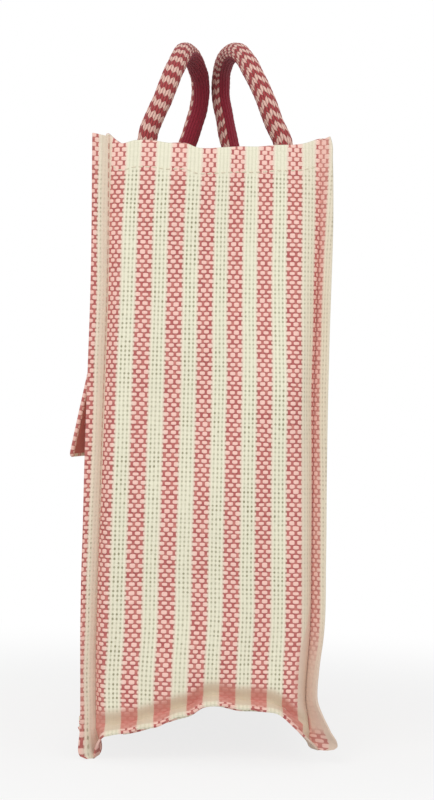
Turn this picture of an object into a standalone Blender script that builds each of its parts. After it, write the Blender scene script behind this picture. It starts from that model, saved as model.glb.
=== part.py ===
"""Striped jute tote bag with two rope handles and a front patch pocket with a flap.

Metres, +Z up, +X along the width of the front panel, the front panel on the -Y side.
The bag stands on the four cloth ears at its lower corners, as it does when it is empty:
the right side of the mouth is open, and at the left side the rims close towards each
other over the inward fold of the left gusset. The seams are turned outwards, so each
seam shows as a fin of two cloth layers face to face.
"""

import math

import bmesh
import bpy
from mathutils import Matrix, Vector

# Bag body
PANEL_WIDTH = 0.304  # front and back panel, seam to seam
GUSSET_HALF_CLOTH = 0.076  # half of the cloth between a gusset's two seams
BODY_HALF_DEPTH = 0.069  # middle of the bag to the front or back seams, near the base
SEAM_HEIGHT = 0.0215  # base seams above the ground, at the corners
RIM_HEIGHT = 0.404
CLOTH = 0.0013  # jute cloth
LAYER_GAP = 0.0003  # between cloth layers that lie face to face

# How the empty bag stands
FRONT_MOUTH = 0.041  # middle of the bag to the front rim, at mid width
BACK_MOUTH = 0.040
FRONT_MOUTH_CHANGE = 0.0255  # from there to the seams: wider at the right, closed at the left
BACK_MOUTH_CHANGE = 0.028
PINCH_POWER = 1.6  # how late the walls start to lean towards the pinched rim
FAR_PULL = 0.004  # the left seams come in at the rim, because the rims run slanting
RIM_DIP = 0.007  # middle of a gusset's rim below its corners
BASE_ARCH = 0.018  # middle of the base above its front and back seams
PANEL_SWELL = 0.002  # front and back panels stand proud of their seams
GUSSET_SWELL = 0.009  # the same for a gusset, which leaves a valley along each seam
SWELL_EDGE = 0.0075  # cloth from a seam to where the swell is full
PLEAT_START = 0.030  # heights between which the left gusset's inward fold opens up
PLEAT_FULL = 0.130

# Seams, hems and ears
FIN = 0.012  # seam allowance outside the stitches
FIN_ANGLES = {-1: 30.0, 1: 45.0}  # right seams, front and back: fin away from the Y axis
LEFT_FIN_ANGLES = (35.0, 74.0)  # left seams, at the base and at the rim
BASE_FIN_DROP = 22.0  # base fins below the horizontal, in degrees
BASE_FIN_GAP = 0.0006  # between the two layers of a base fin, which follows the arch
HEM = 0.018
EAR_SPLAY = 0.002  # how far an ear leans outwards at the ground
BACK_LEFT_EAR_SPLAY = 0.004
BACK_RIGHT_EAR_SPLAY = 0.010
EAR_INSIDE = 0.0055  # how far an ear reaches inwards past the line of its seam
EAR_TIP = 0.007  # length of cloth that an ear stands on
EAR_SHOULDER = 0.0075  # height at which an ear is widest

# Rope handles
ROPE_RADIUS = 0.0063
BORE_RADIUS = 0.0043
CORE_RADIUS = 0.0037
LEG_X = 0.055
HANDLE_RISE = 0.067  # hinge line to the rope's middle at the top of the loop
FRONT_HANDLE_LEAN = 0.014  # how far the loop leans in over the mouth
BACK_HANDLE_LEAN = 0.018
HANDLE_SQUARE = 0.85  # 1 is a half ellipse, less is squarer
HINGE_ABOVE_RIM = 0.010
ROPE_CLEARANCE = 0.0003
SLEEVE_LIP = 0.0006  # knit left round the bore at the sleeve's rounded ends
TAIL_LENGTH = 0.0165  # sewn rope end below the rim
TAIL_FLAT_BELOW = 0.006  # it is flat from here down
TAIL_TOP_RADIUS = 0.0058
TAIL_HALF_WIDTH = 0.0080
TAIL_HALF_THICKNESS = 0.0020
PATCH_CLOTH = 0.0010
PATCH_HALF_WIDTH = 0.018
PATCH_BELOW_RIM = 0.0045
PATCH_SLACK = 0.0009  # room for the rope's bend under the patch
PATCH_HEIGHT = 0.0120
PATCH_CROWN = 0.75  # share of the rope end's half width that the raised patch lies flat over
PATCH_FOOT = 0.6  # width of the patch's slope beside the rope, as a share of its height

# Pocket
POCKET_HALF_WIDTH = 0.090
POCKET_BOTTOM = 0.125
POCKET_TOP = 0.222
POCKET_GAPE = 0.0072  # how far the pocket's top edge stands open at its middle
POCKET_GAPE_POWER = 0.7  # under 1, the pocket stands open below its top edge too
POCKET_SEAT = 0.0005  # pocket's sewn edges to the panel
FLAP_HEIGHT = 0.305  # hinge line of the flap
FLAP_LENGTH = 0.115
FLAP_LEAN = 11.3  # degrees from hanging straight down
FLAP_STANDOFF = 0.0026  # hinge line to the panel's surface
FLAP_ROUNDING = 0.006
LINING_CLOTH = 0.0009
LINING_INSET = 0.003

COLOURS = {
    "striped_jute": ((0.72, 0.47, 0.41), 0.9),
    "rope_knit": ((0.62, 0.30, 0.27), 0.85),
    "rope_core": ((0.84, 0.80, 0.70), 0.9),
    "red_lining": ((0.28, 0.05, 0.06), 0.9),
    "patch_cotton": ((0.80, 0.70, 0.60), 0.9),
}

# The same by side: -1 is the front, 1 the back, and an ear's first number its end of the bag
MOUTH = {-1: (FRONT_MOUTH, FRONT_MOUTH_CHANGE), 1: (BACK_MOUTH, BACK_MOUTH_CHANGE)}
HANDLE_LEANS = {-1: FRONT_HANDLE_LEAN, 1: BACK_HANDLE_LEAN}
EAR_SPLAYS = {
    (1, -1): EAR_SPLAY,
    (-1, -1): EAR_SPLAY,
    (1, 1): BACK_RIGHT_EAR_SPLAY,
    (-1, 1): BACK_LEFT_EAR_SPLAY,
}

# Places across the cloth, as shares of the half width, where its shape needs a line
PANEL_COLUMNS = [-0.82, -0.66, -0.5, -0.33, -0.17, 0.0, 0.17, 0.33, 0.5, 0.66, 0.82]
GUSSET_COLUMNS = [-0.7, -0.5, -0.3, -0.1, 0.1, 0.3, 0.5, 0.7]
WALL_ROWS = [0.08, 0.2, 0.32, 0.44, 0.56, 0.68, 0.79, 0.89]
FIN_ROWS = 3  # lines across a base fin, and down an ear
ROPE_SIDES = 10
ROPE_STEPS = 34
ROPE_CURVE_STEPS = 120  # points on the loop's curve before they are spaced evenly
CORE_TIP = (0.5, 0.9, 1.0)  # radii over the core's rounded tip, as shares of its radius
SMOOTH_ANGLE = 40.0


def clear_scene():
    for item in list(bpy.data.objects):
        bpy.data.objects.remove(item)


def material(name):
    if name in bpy.data.materials:
        return bpy.data.materials[name]
    colour, roughness = COLOURS[name]
    made = bpy.data.materials.new(name)
    made.use_nodes = True
    shader = made.node_tree.nodes["Principled BSDF"]
    shader.inputs["Base Color"].default_value = (*colour, 1.0)
    shader.inputs["Roughness"].default_value = roughness
    shader.inputs["Metallic"].default_value = 0.0
    return made


def empty(name, place, parent=None):
    made = bpy.data.objects.new(name, None)
    made.location = place
    made.parent = parent
    bpy.context.scene.collection.objects.link(made)
    return made


def add_object(name, mesh, slot, parent):
    """Puts a mesh whose points are in the bag's frame under a parent that stands in it."""
    made = bpy.data.objects.new(name, mesh)
    mesh.materials.append(material(slot))
    bpy.context.scene.collection.objects.link(made)
    made.parent = parent
    place = Vector((0, 0, 0))
    while parent is not None and parent.parent is not None:
        place += parent.location
        parent = parent.parent
    mesh.transform(Matrix.Translation(-place))
    return made


def add_cloth(name, grid, cells, thickness, slot, parent):
    """A cloth piece: the kept cells of a grid of points on its middle surface, thickened."""
    mesh = bpy.data.meshes.new(name)
    shape = bmesh.new()
    corners = {}

    def corner(row, column):
        if (row, column) not in corners:
            corners[row, column] = shape.verts.new(grid[row][column])
        return corners[row, column]

    for row in range(len(grid) - 1):
        for column in range(len(grid[0]) - 1):
            if cells(row, column):
                shape.faces.new(
                    (
                        corner(row, column),
                        corner(row, column + 1),
                        corner(row + 1, column + 1),
                        corner(row + 1, column),
                    )
                )
    shape.to_mesh(mesh)
    shape.free()
    made = add_object(name, mesh, slot, parent)
    solid = made.modifiers.new("cloth", "SOLIDIFY")
    solid.thickness = thickness
    solid.offset = 0.0
    solid.use_even_offset = True
    solid.use_quality_normals = True
    return made


def ease(share):
    share = min(max(share, 0.0), 1.0)
    return share * share * (3 - 2 * share)


def pinch(height):
    """0 at the base, 1 at the rim: how far the walls have leaned to the pinched mouth."""
    share = (height - SEAM_HEIGHT) / (RIM_HEIGHT - SEAM_HEIGHT)
    return min(max(share, 0.0), 1.0) ** PINCH_POWER


def half_depth(side, x, height):
    """Middle of the bag to the seam surface of the front (-1) or back (1) panel."""
    middle, change = MOUTH[side]
    at_rim = middle + change * math.sin(math.pi * x / PANEL_WIDTH)
    return BODY_HALF_DEPTH + (at_rim - BODY_HALF_DEPTH) * pinch(height)


def seam_x(end, height):
    """The upright seams: end is 1 at the right gusset, -1 at the left."""
    pull = FAR_PULL * pinch(height) if end < 0 else 0.0
    return end * (PANEL_WIDTH / 2 - pull)


def upright_seam(end, side, height):
    x = seam_x(end, height)
    return Vector((x, side * half_depth(side, x, height), height))


def fin_directions(end, side, height):
    """Along an upright seam: the fin's outward direction, and the way to its gusset layer."""
    if end > 0:
        angle = math.radians(FIN_ANGLES[side])
    else:
        low, high = LEFT_FIN_ANGLES
        angle = math.radians(low + (high - low) * pinch(height))
    outward = Vector((end * math.sin(angle), side * math.cos(angle), 0))
    to_gusset = Vector((end * math.cos(angle), -side * math.sin(angle), 0))
    return outward, to_gusset


def fin_point(end, side, height, share, layer):
    """A point of an upright fin: share is 0 at the stitches, 1 at the fin's edge.

    layer is 1 for the gusset's cloth and -1 for the panel's. Below the base seams the fin
    goes on as the ear, a rounded tab that reaches the ground.
    """
    at = upright_seam(end, side, max(height, SEAM_HEIGHT))
    outward, to_gusset = fin_directions(end, side, max(height, SEAM_HEIGHT))
    inner, outer = 0.0, FIN
    if height < SEAM_HEIGHT:
        down = (SEAM_HEIGHT - height) / (SEAM_HEIGHT - EAR_SHOULDER)
        splay = EAR_SPLAYS[end, side] * ease(down)
        outer += splay
        inner += splay - EAR_INSIDE * ease(down)
        if height < EAR_SHOULDER:
            rounding = (1 - height / EAR_SHOULDER) ** 2
            narrowing = (outer - inner - EAR_TIP) / 2 * rounding
            inner += narrowing
            outer -= narrowing
    distance = inner + (outer - inner) * share
    place = at + outward * distance + to_gusset * (layer * (CLOTH + LAYER_GAP) / 2)
    place.z = height
    return place


def base_seam_height(depth_share):
    """The base is arched up between its front and back seams."""
    return SEAM_HEIGHT + BASE_ARCH * (1 - depth_share**2)


def base_fin_point(seam, outward, share, layer):
    """A point of a base fin: share is 0 at the stitches, layer 1 the wall's cloth, -1 the base's."""
    drop = math.radians(BASE_FIN_DROP)
    up = Vector((0, 0, 1))
    along = outward * math.cos(drop) - up * math.sin(drop)
    across = outward * math.sin(drop) + up * math.cos(drop)
    return seam + along * (FIN * share) + across * (layer * (CLOTH + BASE_FIN_GAP) / 2)


def wall_rows():
    """Shares of a wall's height: the base seam, the full swell, the wall, the hem's edge and the rim."""
    wall = RIM_HEIGHT - SEAM_HEIGHT
    return [0.0, SWELL_EDGE / wall, *WALL_ROWS, 1 - HEM / wall, 1.0]


def swell_share(from_seam):
    return min(from_seam / SWELL_EDGE, 1.0)


def panel_point(side, x, height):
    """The middle surface of the front or back panel, between its upright seams."""
    from_side = min(x - seam_x(-1, height), seam_x(1, height) - x)
    swell = PANEL_SWELL * swell_share(min(from_side, height - SEAM_HEIGHT))
    return Vector((x, side * (half_depth(side, x, height) + swell), height))


def right_gusset_point(share, up_share):
    """The middle surface of the open gusset. share is -1 at the front seam and 1 at the back."""
    low = base_seam_height(share)
    high = RIM_HEIGHT - RIM_DIP * (1 - share**2)
    height = low + (high - low) * up_share
    side = 1 if share > 0 else -1
    depth = half_depth(side, seam_x(1, height), height)
    from_seam = min((1 - abs(share)) * depth, height - low)
    return Vector((seam_x(1, height) + GUSSET_SWELL * swell_share(from_seam), share * depth, height))


def left_gusset_point(share, up_share):
    """The middle surface of the folded gusset: a fold that deepens towards the pinched rim."""
    low = base_seam_height(share)
    high = RIM_HEIGHT - RIM_DIP * (1 - abs(share))
    height = low + (high - low) * up_share
    side = 1 if share > 0 else -1
    depth = half_depth(side, seam_x(-1, height), height)
    open_share = ease((height - PLEAT_START) / (PLEAT_FULL - PLEAT_START))
    fold = math.sqrt(max(GUSSET_HALF_CLOTH**2 - depth**2, 0.0)) * open_share
    from_seam = min((1 - abs(share)) * depth, height - low)
    swell = GUSSET_SWELL * swell_share(from_seam) * (1 - open_share)
    x = seam_x(-1, height) + fold * (1 - abs(share)) - swell
    return Vector((x, share * depth, height))


def add_wall(name, columns, ends, point, seam_point, outward, inward, hem_columns, parent):
    """One wall of the bag, cut in one piece with its upright fins, ears, base fin and hem.

    columns are the shares between the upright seams, ends the (end, side) of the first and
    last seam, point the wall's surface, seam_point its base seam, and inward the direction
    of the turned hem. hem_columns tells which columns have room for the turned hem.
    """
    layer = -1 if ends[0][1] == ends[1][1] else 1
    ear_heights = [0.0, EAR_SHOULDER / 2, EAR_SHOULDER, (EAR_SHOULDER + SEAM_HEIGHT) / 2]
    below = FIN_ROWS + 1
    rows = wall_rows()
    grid = []

    def fin_columns(which, height, middle):
        """The fin's edge, its middle and the stitch line, from the outside in."""
        end, side = ends[which]
        found = [fin_point(end, side, height, share, layer) for share in (1.0, 0.5, 0.0)]
        return [*found, *middle] if which == 0 else [*middle, *reversed(found)]

    for step in range(below):
        share = (below - step) / below
        middle = [base_fin_point(seam_point(c), outward, share, 1) for c in columns]
        height = ear_heights[step]
        grid.append(fin_columns(1, height, fin_columns(0, height, middle)))
    for up_share in rows:
        height = SEAM_HEIGHT + (RIM_HEIGHT - SEAM_HEIGHT) * up_share
        if up_share == 0.0:
            middle = [base_fin_point(seam_point(c), outward, 0.0, 1) for c in columns]
        else:
            middle = [point(c, up_share) for c in columns]
        grid.append(fin_columns(1, height, fin_columns(0, height, middle)))
    for up_share in (rows[-1], rows[-2]):
        height = SEAM_HEIGHT + (RIM_HEIGHT - SEAM_HEIGHT) * up_share
        middle = [point(c, up_share) + inward(c) * (CLOTH + LAYER_GAP) for c in columns]
        grid.append(fin_columns(1, height, fin_columns(0, height, middle)))

    first, last = 3, 3 + len(columns) - 1
    rim = below + len(rows) - 1

    def cells(row, column):
        in_middle = first <= column < last
        if row >= rim:
            return in_middle and hem_columns(columns[column - first], columns[column - first + 1])
        beside_middle = column in (first - 1, last)
        return not (row < below and beside_middle)

    return add_cloth(name, grid, cells, CLOTH, "striped_jute", parent)


def panel_columns():
    edge = 1 - SWELL_EDGE / (PANEL_WIDTH / 2)
    return [-edge, *PANEL_COLUMNS, edge]


def gusset_columns(fold_line):
    edge = 1 - SWELL_EDGE / BODY_HALF_DEPTH
    found = [-edge, *GUSSET_COLUMNS, edge]
    return sorted([*found, 0.0]) if fold_line else found


def panel_x(share, height):
    """Places along a panel, between its two upright seams."""
    left, right = seam_x(-1, height), seam_x(1, height)
    return (left + right) / 2 + share * (right - left) / 2


def add_panel(name, side, parent):
    def point(share, up_share):
        height = SEAM_HEIGHT + (RIM_HEIGHT - SEAM_HEIGHT) * up_share
        return panel_point(side, panel_x(share, height), height)

    def seam_point(share):
        return Vector((panel_x(share, SEAM_HEIGHT), side * BODY_HALF_DEPTH, SEAM_HEIGHT))

    def hem_columns(low, high):
        """The turned hem stops short of the left seam, where the rims close on the fold."""
        return low >= PANEL_COLUMNS[0]

    outward = Vector((0, side, 0))
    ends = [(-1, side), (1, side)]
    return add_wall(
        name, panel_columns(), ends, point, seam_point, outward, lambda c: -outward, hem_columns, parent
    )


def add_right_gusset(parent):
    def seam_point(share):
        return Vector((seam_x(1, SEAM_HEIGHT), share * BODY_HALF_DEPTH, base_seam_height(share)))

    outward = Vector((1, 0, 0))
    return add_wall(
        "right_gusset",
        gusset_columns(fold_line=False),
        [(1, -1), (1, 1)],
        right_gusset_point,
        seam_point,
        outward,
        lambda c: -outward,
        lambda low, high: True,
        parent,
    )


def add_left_gusset(parent):
    def seam_point(share):
        return Vector((seam_x(-1, SEAM_HEIGHT), share * BODY_HALF_DEPTH, base_seam_height(share)))

    def inward(share):
        """Out of the fold's cloth, towards the inside of the bag."""
        side = -1 if share < 0 else 1
        depth = half_depth(side, seam_x(-1, RIM_HEIGHT), RIM_HEIGHT)
        if share == 0.0:
            return Vector((GUSSET_HALF_CLOTH / depth, 0, 0))
        fold = math.sqrt(GUSSET_HALF_CLOTH**2 - depth**2)
        return Vector((depth, side * fold, 0)).normalized()

    def hem_columns(low, high):
        """The turned hem stops short of both seams, where there is no room beside the fold."""
        return low >= GUSSET_COLUMNS[1] and high <= GUSSET_COLUMNS[-2]

    return add_wall(
        "left_gusset",
        gusset_columns(fold_line=True),
        [(-1, -1), (-1, 1)],
        left_gusset_point,
        seam_point,
        Vector((-1, 0, 0)),
        inward,
        hem_columns,
        parent,
    )


def add_base(parent):
    """The base panel with the lower layer of the four base fins."""
    depth_shares = [-1.0, *gusset_columns(fold_line=False), 1.0]
    width_shares = [-1.0, *panel_columns(), 1.0]
    half_width = PANEL_WIDTH / 2

    def seam(width_share, depth_share):
        height = base_seam_height(depth_share)
        return Vector((width_share * half_width, depth_share * BODY_HALF_DEPTH, height))

    def point(width_share, depth_share, fin_x, fin_y):
        at = seam(width_share, depth_share)
        if fin_x is not None:
            return base_fin_point(at, Vector((width_share, 0, 0)), fin_x, -1)
        if fin_y is not None:
            return base_fin_point(at, Vector((0, depth_share, 0)), fin_y, -1)
        return at

    grid = []
    rows = [(depth_shares[0], 1.0)]
    rows += [(d, 0.0 if abs(d) == 1.0 else None) for d in depth_shares]
    rows += [(depth_shares[-1], 1.0)]
    for depth_share, fin_y in rows:
        line = [point(-1.0, depth_share, 1.0, fin_y)]
        for width_share in width_shares:
            fin_x = 0.0 if abs(width_share) == 1.0 else None
            line.append(point(width_share, depth_share, fin_x, fin_y))
        line.append(point(1.0, depth_share, 1.0, fin_y))
        grid.append(line)
    last_row, last_column = len(grid) - 2, len(grid[0]) - 2

    def cells(row, column):
        near_row_edge = row in (0, 1, last_row - 1, last_row)
        near_column_edge = column in (0, 1, last_column - 1, last_column)
        return not (near_row_edge and near_column_edge)

    return add_cloth("base_panel", grid, cells, CLOTH, "striped_jute", parent)


def sweep(name, rings, closed, slot, parent):
    """A solid through rings of points: capped at both ends, or closed on itself as a tube with a bore."""
    mesh = bpy.data.meshes.new(name)
    shape = bmesh.new()
    loops = [[shape.verts.new(p) for p in ring] for ring in rings]
    pairs = list(zip(loops, loops[1:]))
    if closed:
        pairs.append((loops[-1], loops[0]))
    for one, other in pairs:
        for i in range(len(one)):
            j = (i + 1) % len(one)
            shape.faces.new((one[i], one[j], other[j], other[i]))
    if not closed:
        shape.faces.new(list(reversed(loops[0])))
        shape.faces.new(loops[-1])
    bmesh.ops.recalc_face_normals(shape, faces=shape.faces)
    shape.to_mesh(mesh)
    shape.free()
    made = add_object(name, mesh, slot, parent)
    mesh.shade_smooth()
    mesh.set_sharp_from_angle(angle=math.radians(SMOOTH_ANGLE))
    return made


def hem_face(side, x, height):
    """Middle of the bag to the inner surface of a panel's turned hem."""
    return abs(panel_point(side, x, min(height, RIM_HEIGHT)).y) - CLOTH * 1.5 - LAYER_GAP


def leg_y(side, x):
    """Where a rope leg passes the rim, against the hem."""
    return side * (hem_face(side, x, RIM_HEIGHT) - ROPE_CLEARANCE - ROPE_RADIUS)


def hinge_point(side, x):
    return Vector((x, leg_y(side, x), RIM_HEIGHT + HINGE_ABOVE_RIM))


def handle_path(side, count):
    """The rope's middle line, from its right leg over the loop's top to its left leg."""
    right, left = hinge_point(side, LEG_X), hinge_point(side, -LEG_X)
    path = []
    for i in range(count + 1):
        turn = math.pi * i / count
        reach = math.copysign(abs(math.cos(turn)) ** HANDLE_SQUARE, math.cos(turn))
        rise = math.sin(turn) ** HANDLE_SQUARE if 0 < i < count else 0.0
        place = left.lerp(right, (1 + reach) / 2)
        lean = HANDLE_LEANS[side] * (1 - (1 - rise) ** 2)
        path.append(place + Vector((0, -side * lean, HANDLE_RISE * rise)))
    return path


def even_steps(path, count):
    """The same line with its points evenly spaced."""
    reach = [0.0]
    for one, other in zip(path, path[1:]):
        reach.append(reach[-1] + (other - one).length)
    found = []
    for i in range(count + 1):
        wanted = reach[-1] * i / count
        k = max(1, next((n for n, r in enumerate(reach) if r >= wanted - 1e-12), len(reach) - 1))
        share = (wanted - reach[k - 1]) / (reach[k] - reach[k - 1])
        found.append(path[k - 1].lerp(path[k], share))
    return found


def ring_frames(path):
    """A pair of directions across the line at each point, carried along it without twist."""
    frames = []
    across = Vector((0, 1, 0))
    for i, place in enumerate(path):
        along = (path[min(i + 1, len(path) - 1)] - path[max(i - 1, 0)]).normalized()
        across = (across - along * across.dot(along)).normalized()
        frames.append((place, along, across, along.cross(across)))
    return frames


def ring(frame, radius, shift=0.0):
    place, along, across, other = frame
    found = []
    for i in range(ROPE_SIDES):
        turn = 2 * math.pi * i / ROPE_SIDES
        found.append(
            place + along * shift + (across * math.cos(turn) + other * math.sin(turn)) * radius
        )
    return found


def dome(radius_now):
    """How far past the hinge line a ball of the rope's radius reaches at a smaller radius."""
    return math.sqrt(ROPE_RADIUS**2 - radius_now**2)


def add_handle(name, side, parent):
    """A knitted sleeve over a cord core. Both ends are rounded about the hinge line."""
    frames = ring_frames(even_steps(handle_path(side, ROPE_CURVE_STEPS), ROPE_STEPS))
    mouth = BORE_RADIUS + SLEEVE_LIP
    shoulder = ROPE_RADIUS * math.cos(math.acos(mouth / ROPE_RADIUS) / 2)
    shoulders = [(mouth, dome(mouth)), (shoulder, dome(shoulder))]
    outer = [ring(frames[0], radius, -past) for radius, past in shoulders]
    outer += [ring(frame, ROPE_RADIUS) for frame in frames]
    outer += [ring(frames[-1], radius, past) for radius, past in reversed(shoulders)]
    inner = [ring(frames[-1], BORE_RADIUS, dome(mouth))]
    inner += [ring(frame, BORE_RADIUS) for frame in reversed(frames)]
    inner += [ring(frames[0], BORE_RADIUS, -dome(mouth))]
    sweep(f"{name}_sleeve", outer + inner, True, "rope_knit", parent)

    tips = [(CORE_RADIUS * share, dome(CORE_RADIUS * share)) for share in CORE_TIP]
    core = [ring(frames[0], radius, -past) for radius, past in tips]
    core += [ring(frame, CORE_RADIUS) for frame in frames[1:-1]]
    core += [ring(frames[-1], radius, past) for radius, past in reversed(tips)]
    sweep(f"{name}_core", core, False, "rope_core", parent)


def hem_slope(side, x):
    """How much a panel at the rim turns away from the X axis, as a slope."""
    return side * MOUTH[side][1] * math.pi / PANEL_WIDTH * math.cos(math.pi * x / PANEL_WIDTH)


def tail_section(height):
    """Half width and half thickness of a sewn rope end: round at its top, pressed flat below."""
    top = RIM_HEIGHT + HINGE_ABOVE_RIM - ROPE_RADIUS - ROPE_CLEARANCE
    flat = ease((top - height) / (top - (RIM_HEIGHT - TAIL_FLAT_BELOW)))
    return (
        TAIL_TOP_RADIUS + (TAIL_HALF_WIDTH - TAIL_TOP_RADIUS) * flat,
        TAIL_TOP_RADIUS + (TAIL_HALF_THICKNESS - TAIL_TOP_RADIUS) * flat,
    )


def add_tail(name, side, x, parent):
    """The rope's sewn end: round where it leaves the handle, pressed flat against the hem below."""
    top = RIM_HEIGHT + HINGE_ABOVE_RIM - ROPE_RADIUS - ROPE_CLEARANCE
    bottom = RIM_HEIGHT - TAIL_LENGTH
    steps, sides = 6, 12
    slope = hem_slope(side, x)
    rings = []
    for i in range(steps + 1):
        height = top + (bottom - top) * i / steps
        wide, thick = tail_section(height)
        lean = abs(slope) * wide * 0.5
        middle = side * (hem_face(side, x, height) - ROPE_CLEARANCE - thick - lean)
        line = []
        for k in range(sides):
            turn = 2 * math.pi * k / sides
            across = wide * math.cos(turn)
            line.append(Vector((x + across, middle + slope * across + thick * math.sin(turn), height)))
        rings.append(line)
    return sweep(name, rings, False, "rope_knit", parent)


def add_patch(name, side, x, parent):
    """A cotton patch that holds a rope end to the hem: flat at its sides, raised over the rope."""
    rows = 3
    slope = hem_slope(side, x)
    grid = []
    for i in range(rows + 1):
        height = RIM_HEIGHT - PATCH_BELOW_RIM - PATCH_HEIGHT * i / rows
        wide, thick = tail_section(height)
        over = 2 * thick + PATCH_SLACK + abs(slope) * wide * 0.5
        foot, crown = wide + over * PATCH_FOOT, wide * PATCH_CROWN
        places = [(-PATCH_HALF_WIDTH, 0.0), (-foot, 0.0), (-crown, over)]
        places += [(0.0, over)] + [(-across, lift) for across, lift in reversed(places)]
        line = []
        for across, lift in places:
            face = hem_face(side, x + across, height)
            away = ROPE_CLEARANCE + PATCH_CLOTH / 2 + lift
            line.append(Vector((x + across, side * (face - away), height)))
        grid.append(line)
    return add_cloth(name, grid, lambda r, c: True, PATCH_CLOTH, "patch_cotton", parent)


def add_pocket(parent):
    """The patch pocket: sewn down at its sides and bottom, standing a little open at its top."""
    columns, rows = 12, 6
    grid = []
    for i in range(rows + 1):
        up = i / rows
        height = POCKET_BOTTOM + (POCKET_TOP - POCKET_BOTTOM) * up
        line = []
        for k in range(columns + 1):
            share = 2 * k / columns - 1
            x = share * POCKET_HALF_WIDTH
            gape = POCKET_GAPE * math.sin(math.pi * (share + 1) / 2) * up**POCKET_GAPE_POWER
            away = CLOTH + POCKET_SEAT + gape
            line.append(panel_point(-1, x, height) + Vector((0, -away, 0)))
        grid.append(line)
    return add_cloth("pocket_panel", grid, lambda r, c: True, CLOTH, "striped_jute", parent)


def flap_hinge_ends():
    found = []
    for x in (-POCKET_HALF_WIDTH, POCKET_HALF_WIDTH):
        at = panel_point(-1, x, FLAP_HEIGHT)
        found.append(at + Vector((0, -CLOTH / 2 - FLAP_STANDOFF, 0)))
    return found


def flap_outline(inset):
    """Across and down the flap: its top edge lies on the hinge line, its lower corners are rounded."""
    half = POCKET_HALF_WIDTH - inset
    low = FLAP_LENGTH - inset
    steps = 3
    points = [(-half, 0.0), (half, 0.0)]
    for corner in (1, -1):
        for i in range(steps + 1):
            turn = math.pi / 2 * (i / steps if corner > 0 else 1 - i / steps)
            across = corner * (half - FLAP_ROUNDING + FLAP_ROUNDING * math.cos(turn))
            points.append((across, low - FLAP_ROUNDING + FLAP_ROUNDING * math.sin(turn)))
    return points


def add_flap(name, outline, near, far, slot, parent):
    """One layer of the flap, between two distances outward from its middle plane."""
    left, right = flap_hinge_ends()
    along = (right - left).normalized()
    lean = math.radians(FLAP_LEAN)
    level = Vector((0, 0, 1)).cross(along) * -1
    down = level * math.sin(lean) - Vector((0, 0, 1)) * math.cos(lean)
    outward = level * math.cos(lean) + Vector((0, 0, 1)) * math.sin(lean)
    middle = (left + right) / 2
    mesh = bpy.data.meshes.new(name)
    shape = bmesh.new()
    flat = [middle + along * a + down * d for a, d in outline]
    low = [shape.verts.new(p + outward * near) for p in flat]
    high = [shape.verts.new(p + outward * far) for p in flat]
    shape.faces.new(low)
    shape.faces.new(list(reversed(high)))
    for i in range(len(flat)):
        j = (i + 1) % len(flat)
        shape.faces.new((low[i], high[i], high[j], low[j]))
    bmesh.ops.recalc_face_normals(shape, faces=shape.faces)
    shape.to_mesh(mesh)
    shape.free()
    return add_object(name, mesh, slot, parent)


def stand_at_origin(root):
    """Moves the bag so that the middle of its outline on the ground is the origin."""
    bpy.context.view_layer.update()
    graph = bpy.context.evaluated_depsgraph_get()
    places = []
    for item in bpy.data.objects:
        if item.type == "MESH":
            shown = item.evaluated_get(graph)
            places += [shown.matrix_world @ Vector(corner) for corner in shown.bound_box]
    low = Vector(map(min, *places))
    high = Vector(map(max, *places))
    root.location = Vector((-(low.x + high.x) / 2, -(low.y + high.y) / 2, -low.z))


def build():
    clear_scene()
    root = empty("tote_bag", (0, 0, 0))
    add_panel("front_panel", -1, root)
    add_panel("back_panel", 1, root)
    add_right_gusset(root)
    add_left_gusset(root)
    add_base(root)
    for side, name in ((-1, "front"), (1, "back")):
        middle = (hinge_point(side, LEG_X) + hinge_point(side, -LEG_X)) / 2
        hinge = empty(f"{name}_handle_hinge", middle, root)
        add_handle(f"{name}_handle", side, hinge)
        for x, hand in ((-LEG_X, "left"), (LEG_X, "right")):
            add_tail(f"{name}_rope_end_{hand}", side, x, root)
            add_patch(f"{name}_anchor_patch_{hand}", side, x, root)
    add_pocket(root)
    left, right = flap_hinge_ends()
    hinge = empty("pocket_flap_hinge", (left + right) / 2, root)
    middle = (CLOTH + LAYER_GAP + LINING_CLOTH) / 2
    add_flap("pocket_flap", flap_outline(0.0), middle - CLOTH, middle, "striped_jute", hinge)
    lining = flap_outline(LINING_INSET)
    add_flap("flap_lining", lining, -middle, LINING_CLOTH - middle, "red_lining", hinge)
    stand_at_origin(root)


build()
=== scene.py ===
"""Looks of the striped jute tote bag: cloth walls, rope handles, pocket and flap.

Metres, +Z up. Shapes are worked out in the bag's own frame, whose middle on the ground is
MIDDLE, with the same sizes and surface rules as the solids that they stand for. Every cloth
piece is a grid of points on its middle surface, thickened to a closed shell. Its map holds
the place on the cloth in metres, across the warps and along them, for the weave.
"""

import math

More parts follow.
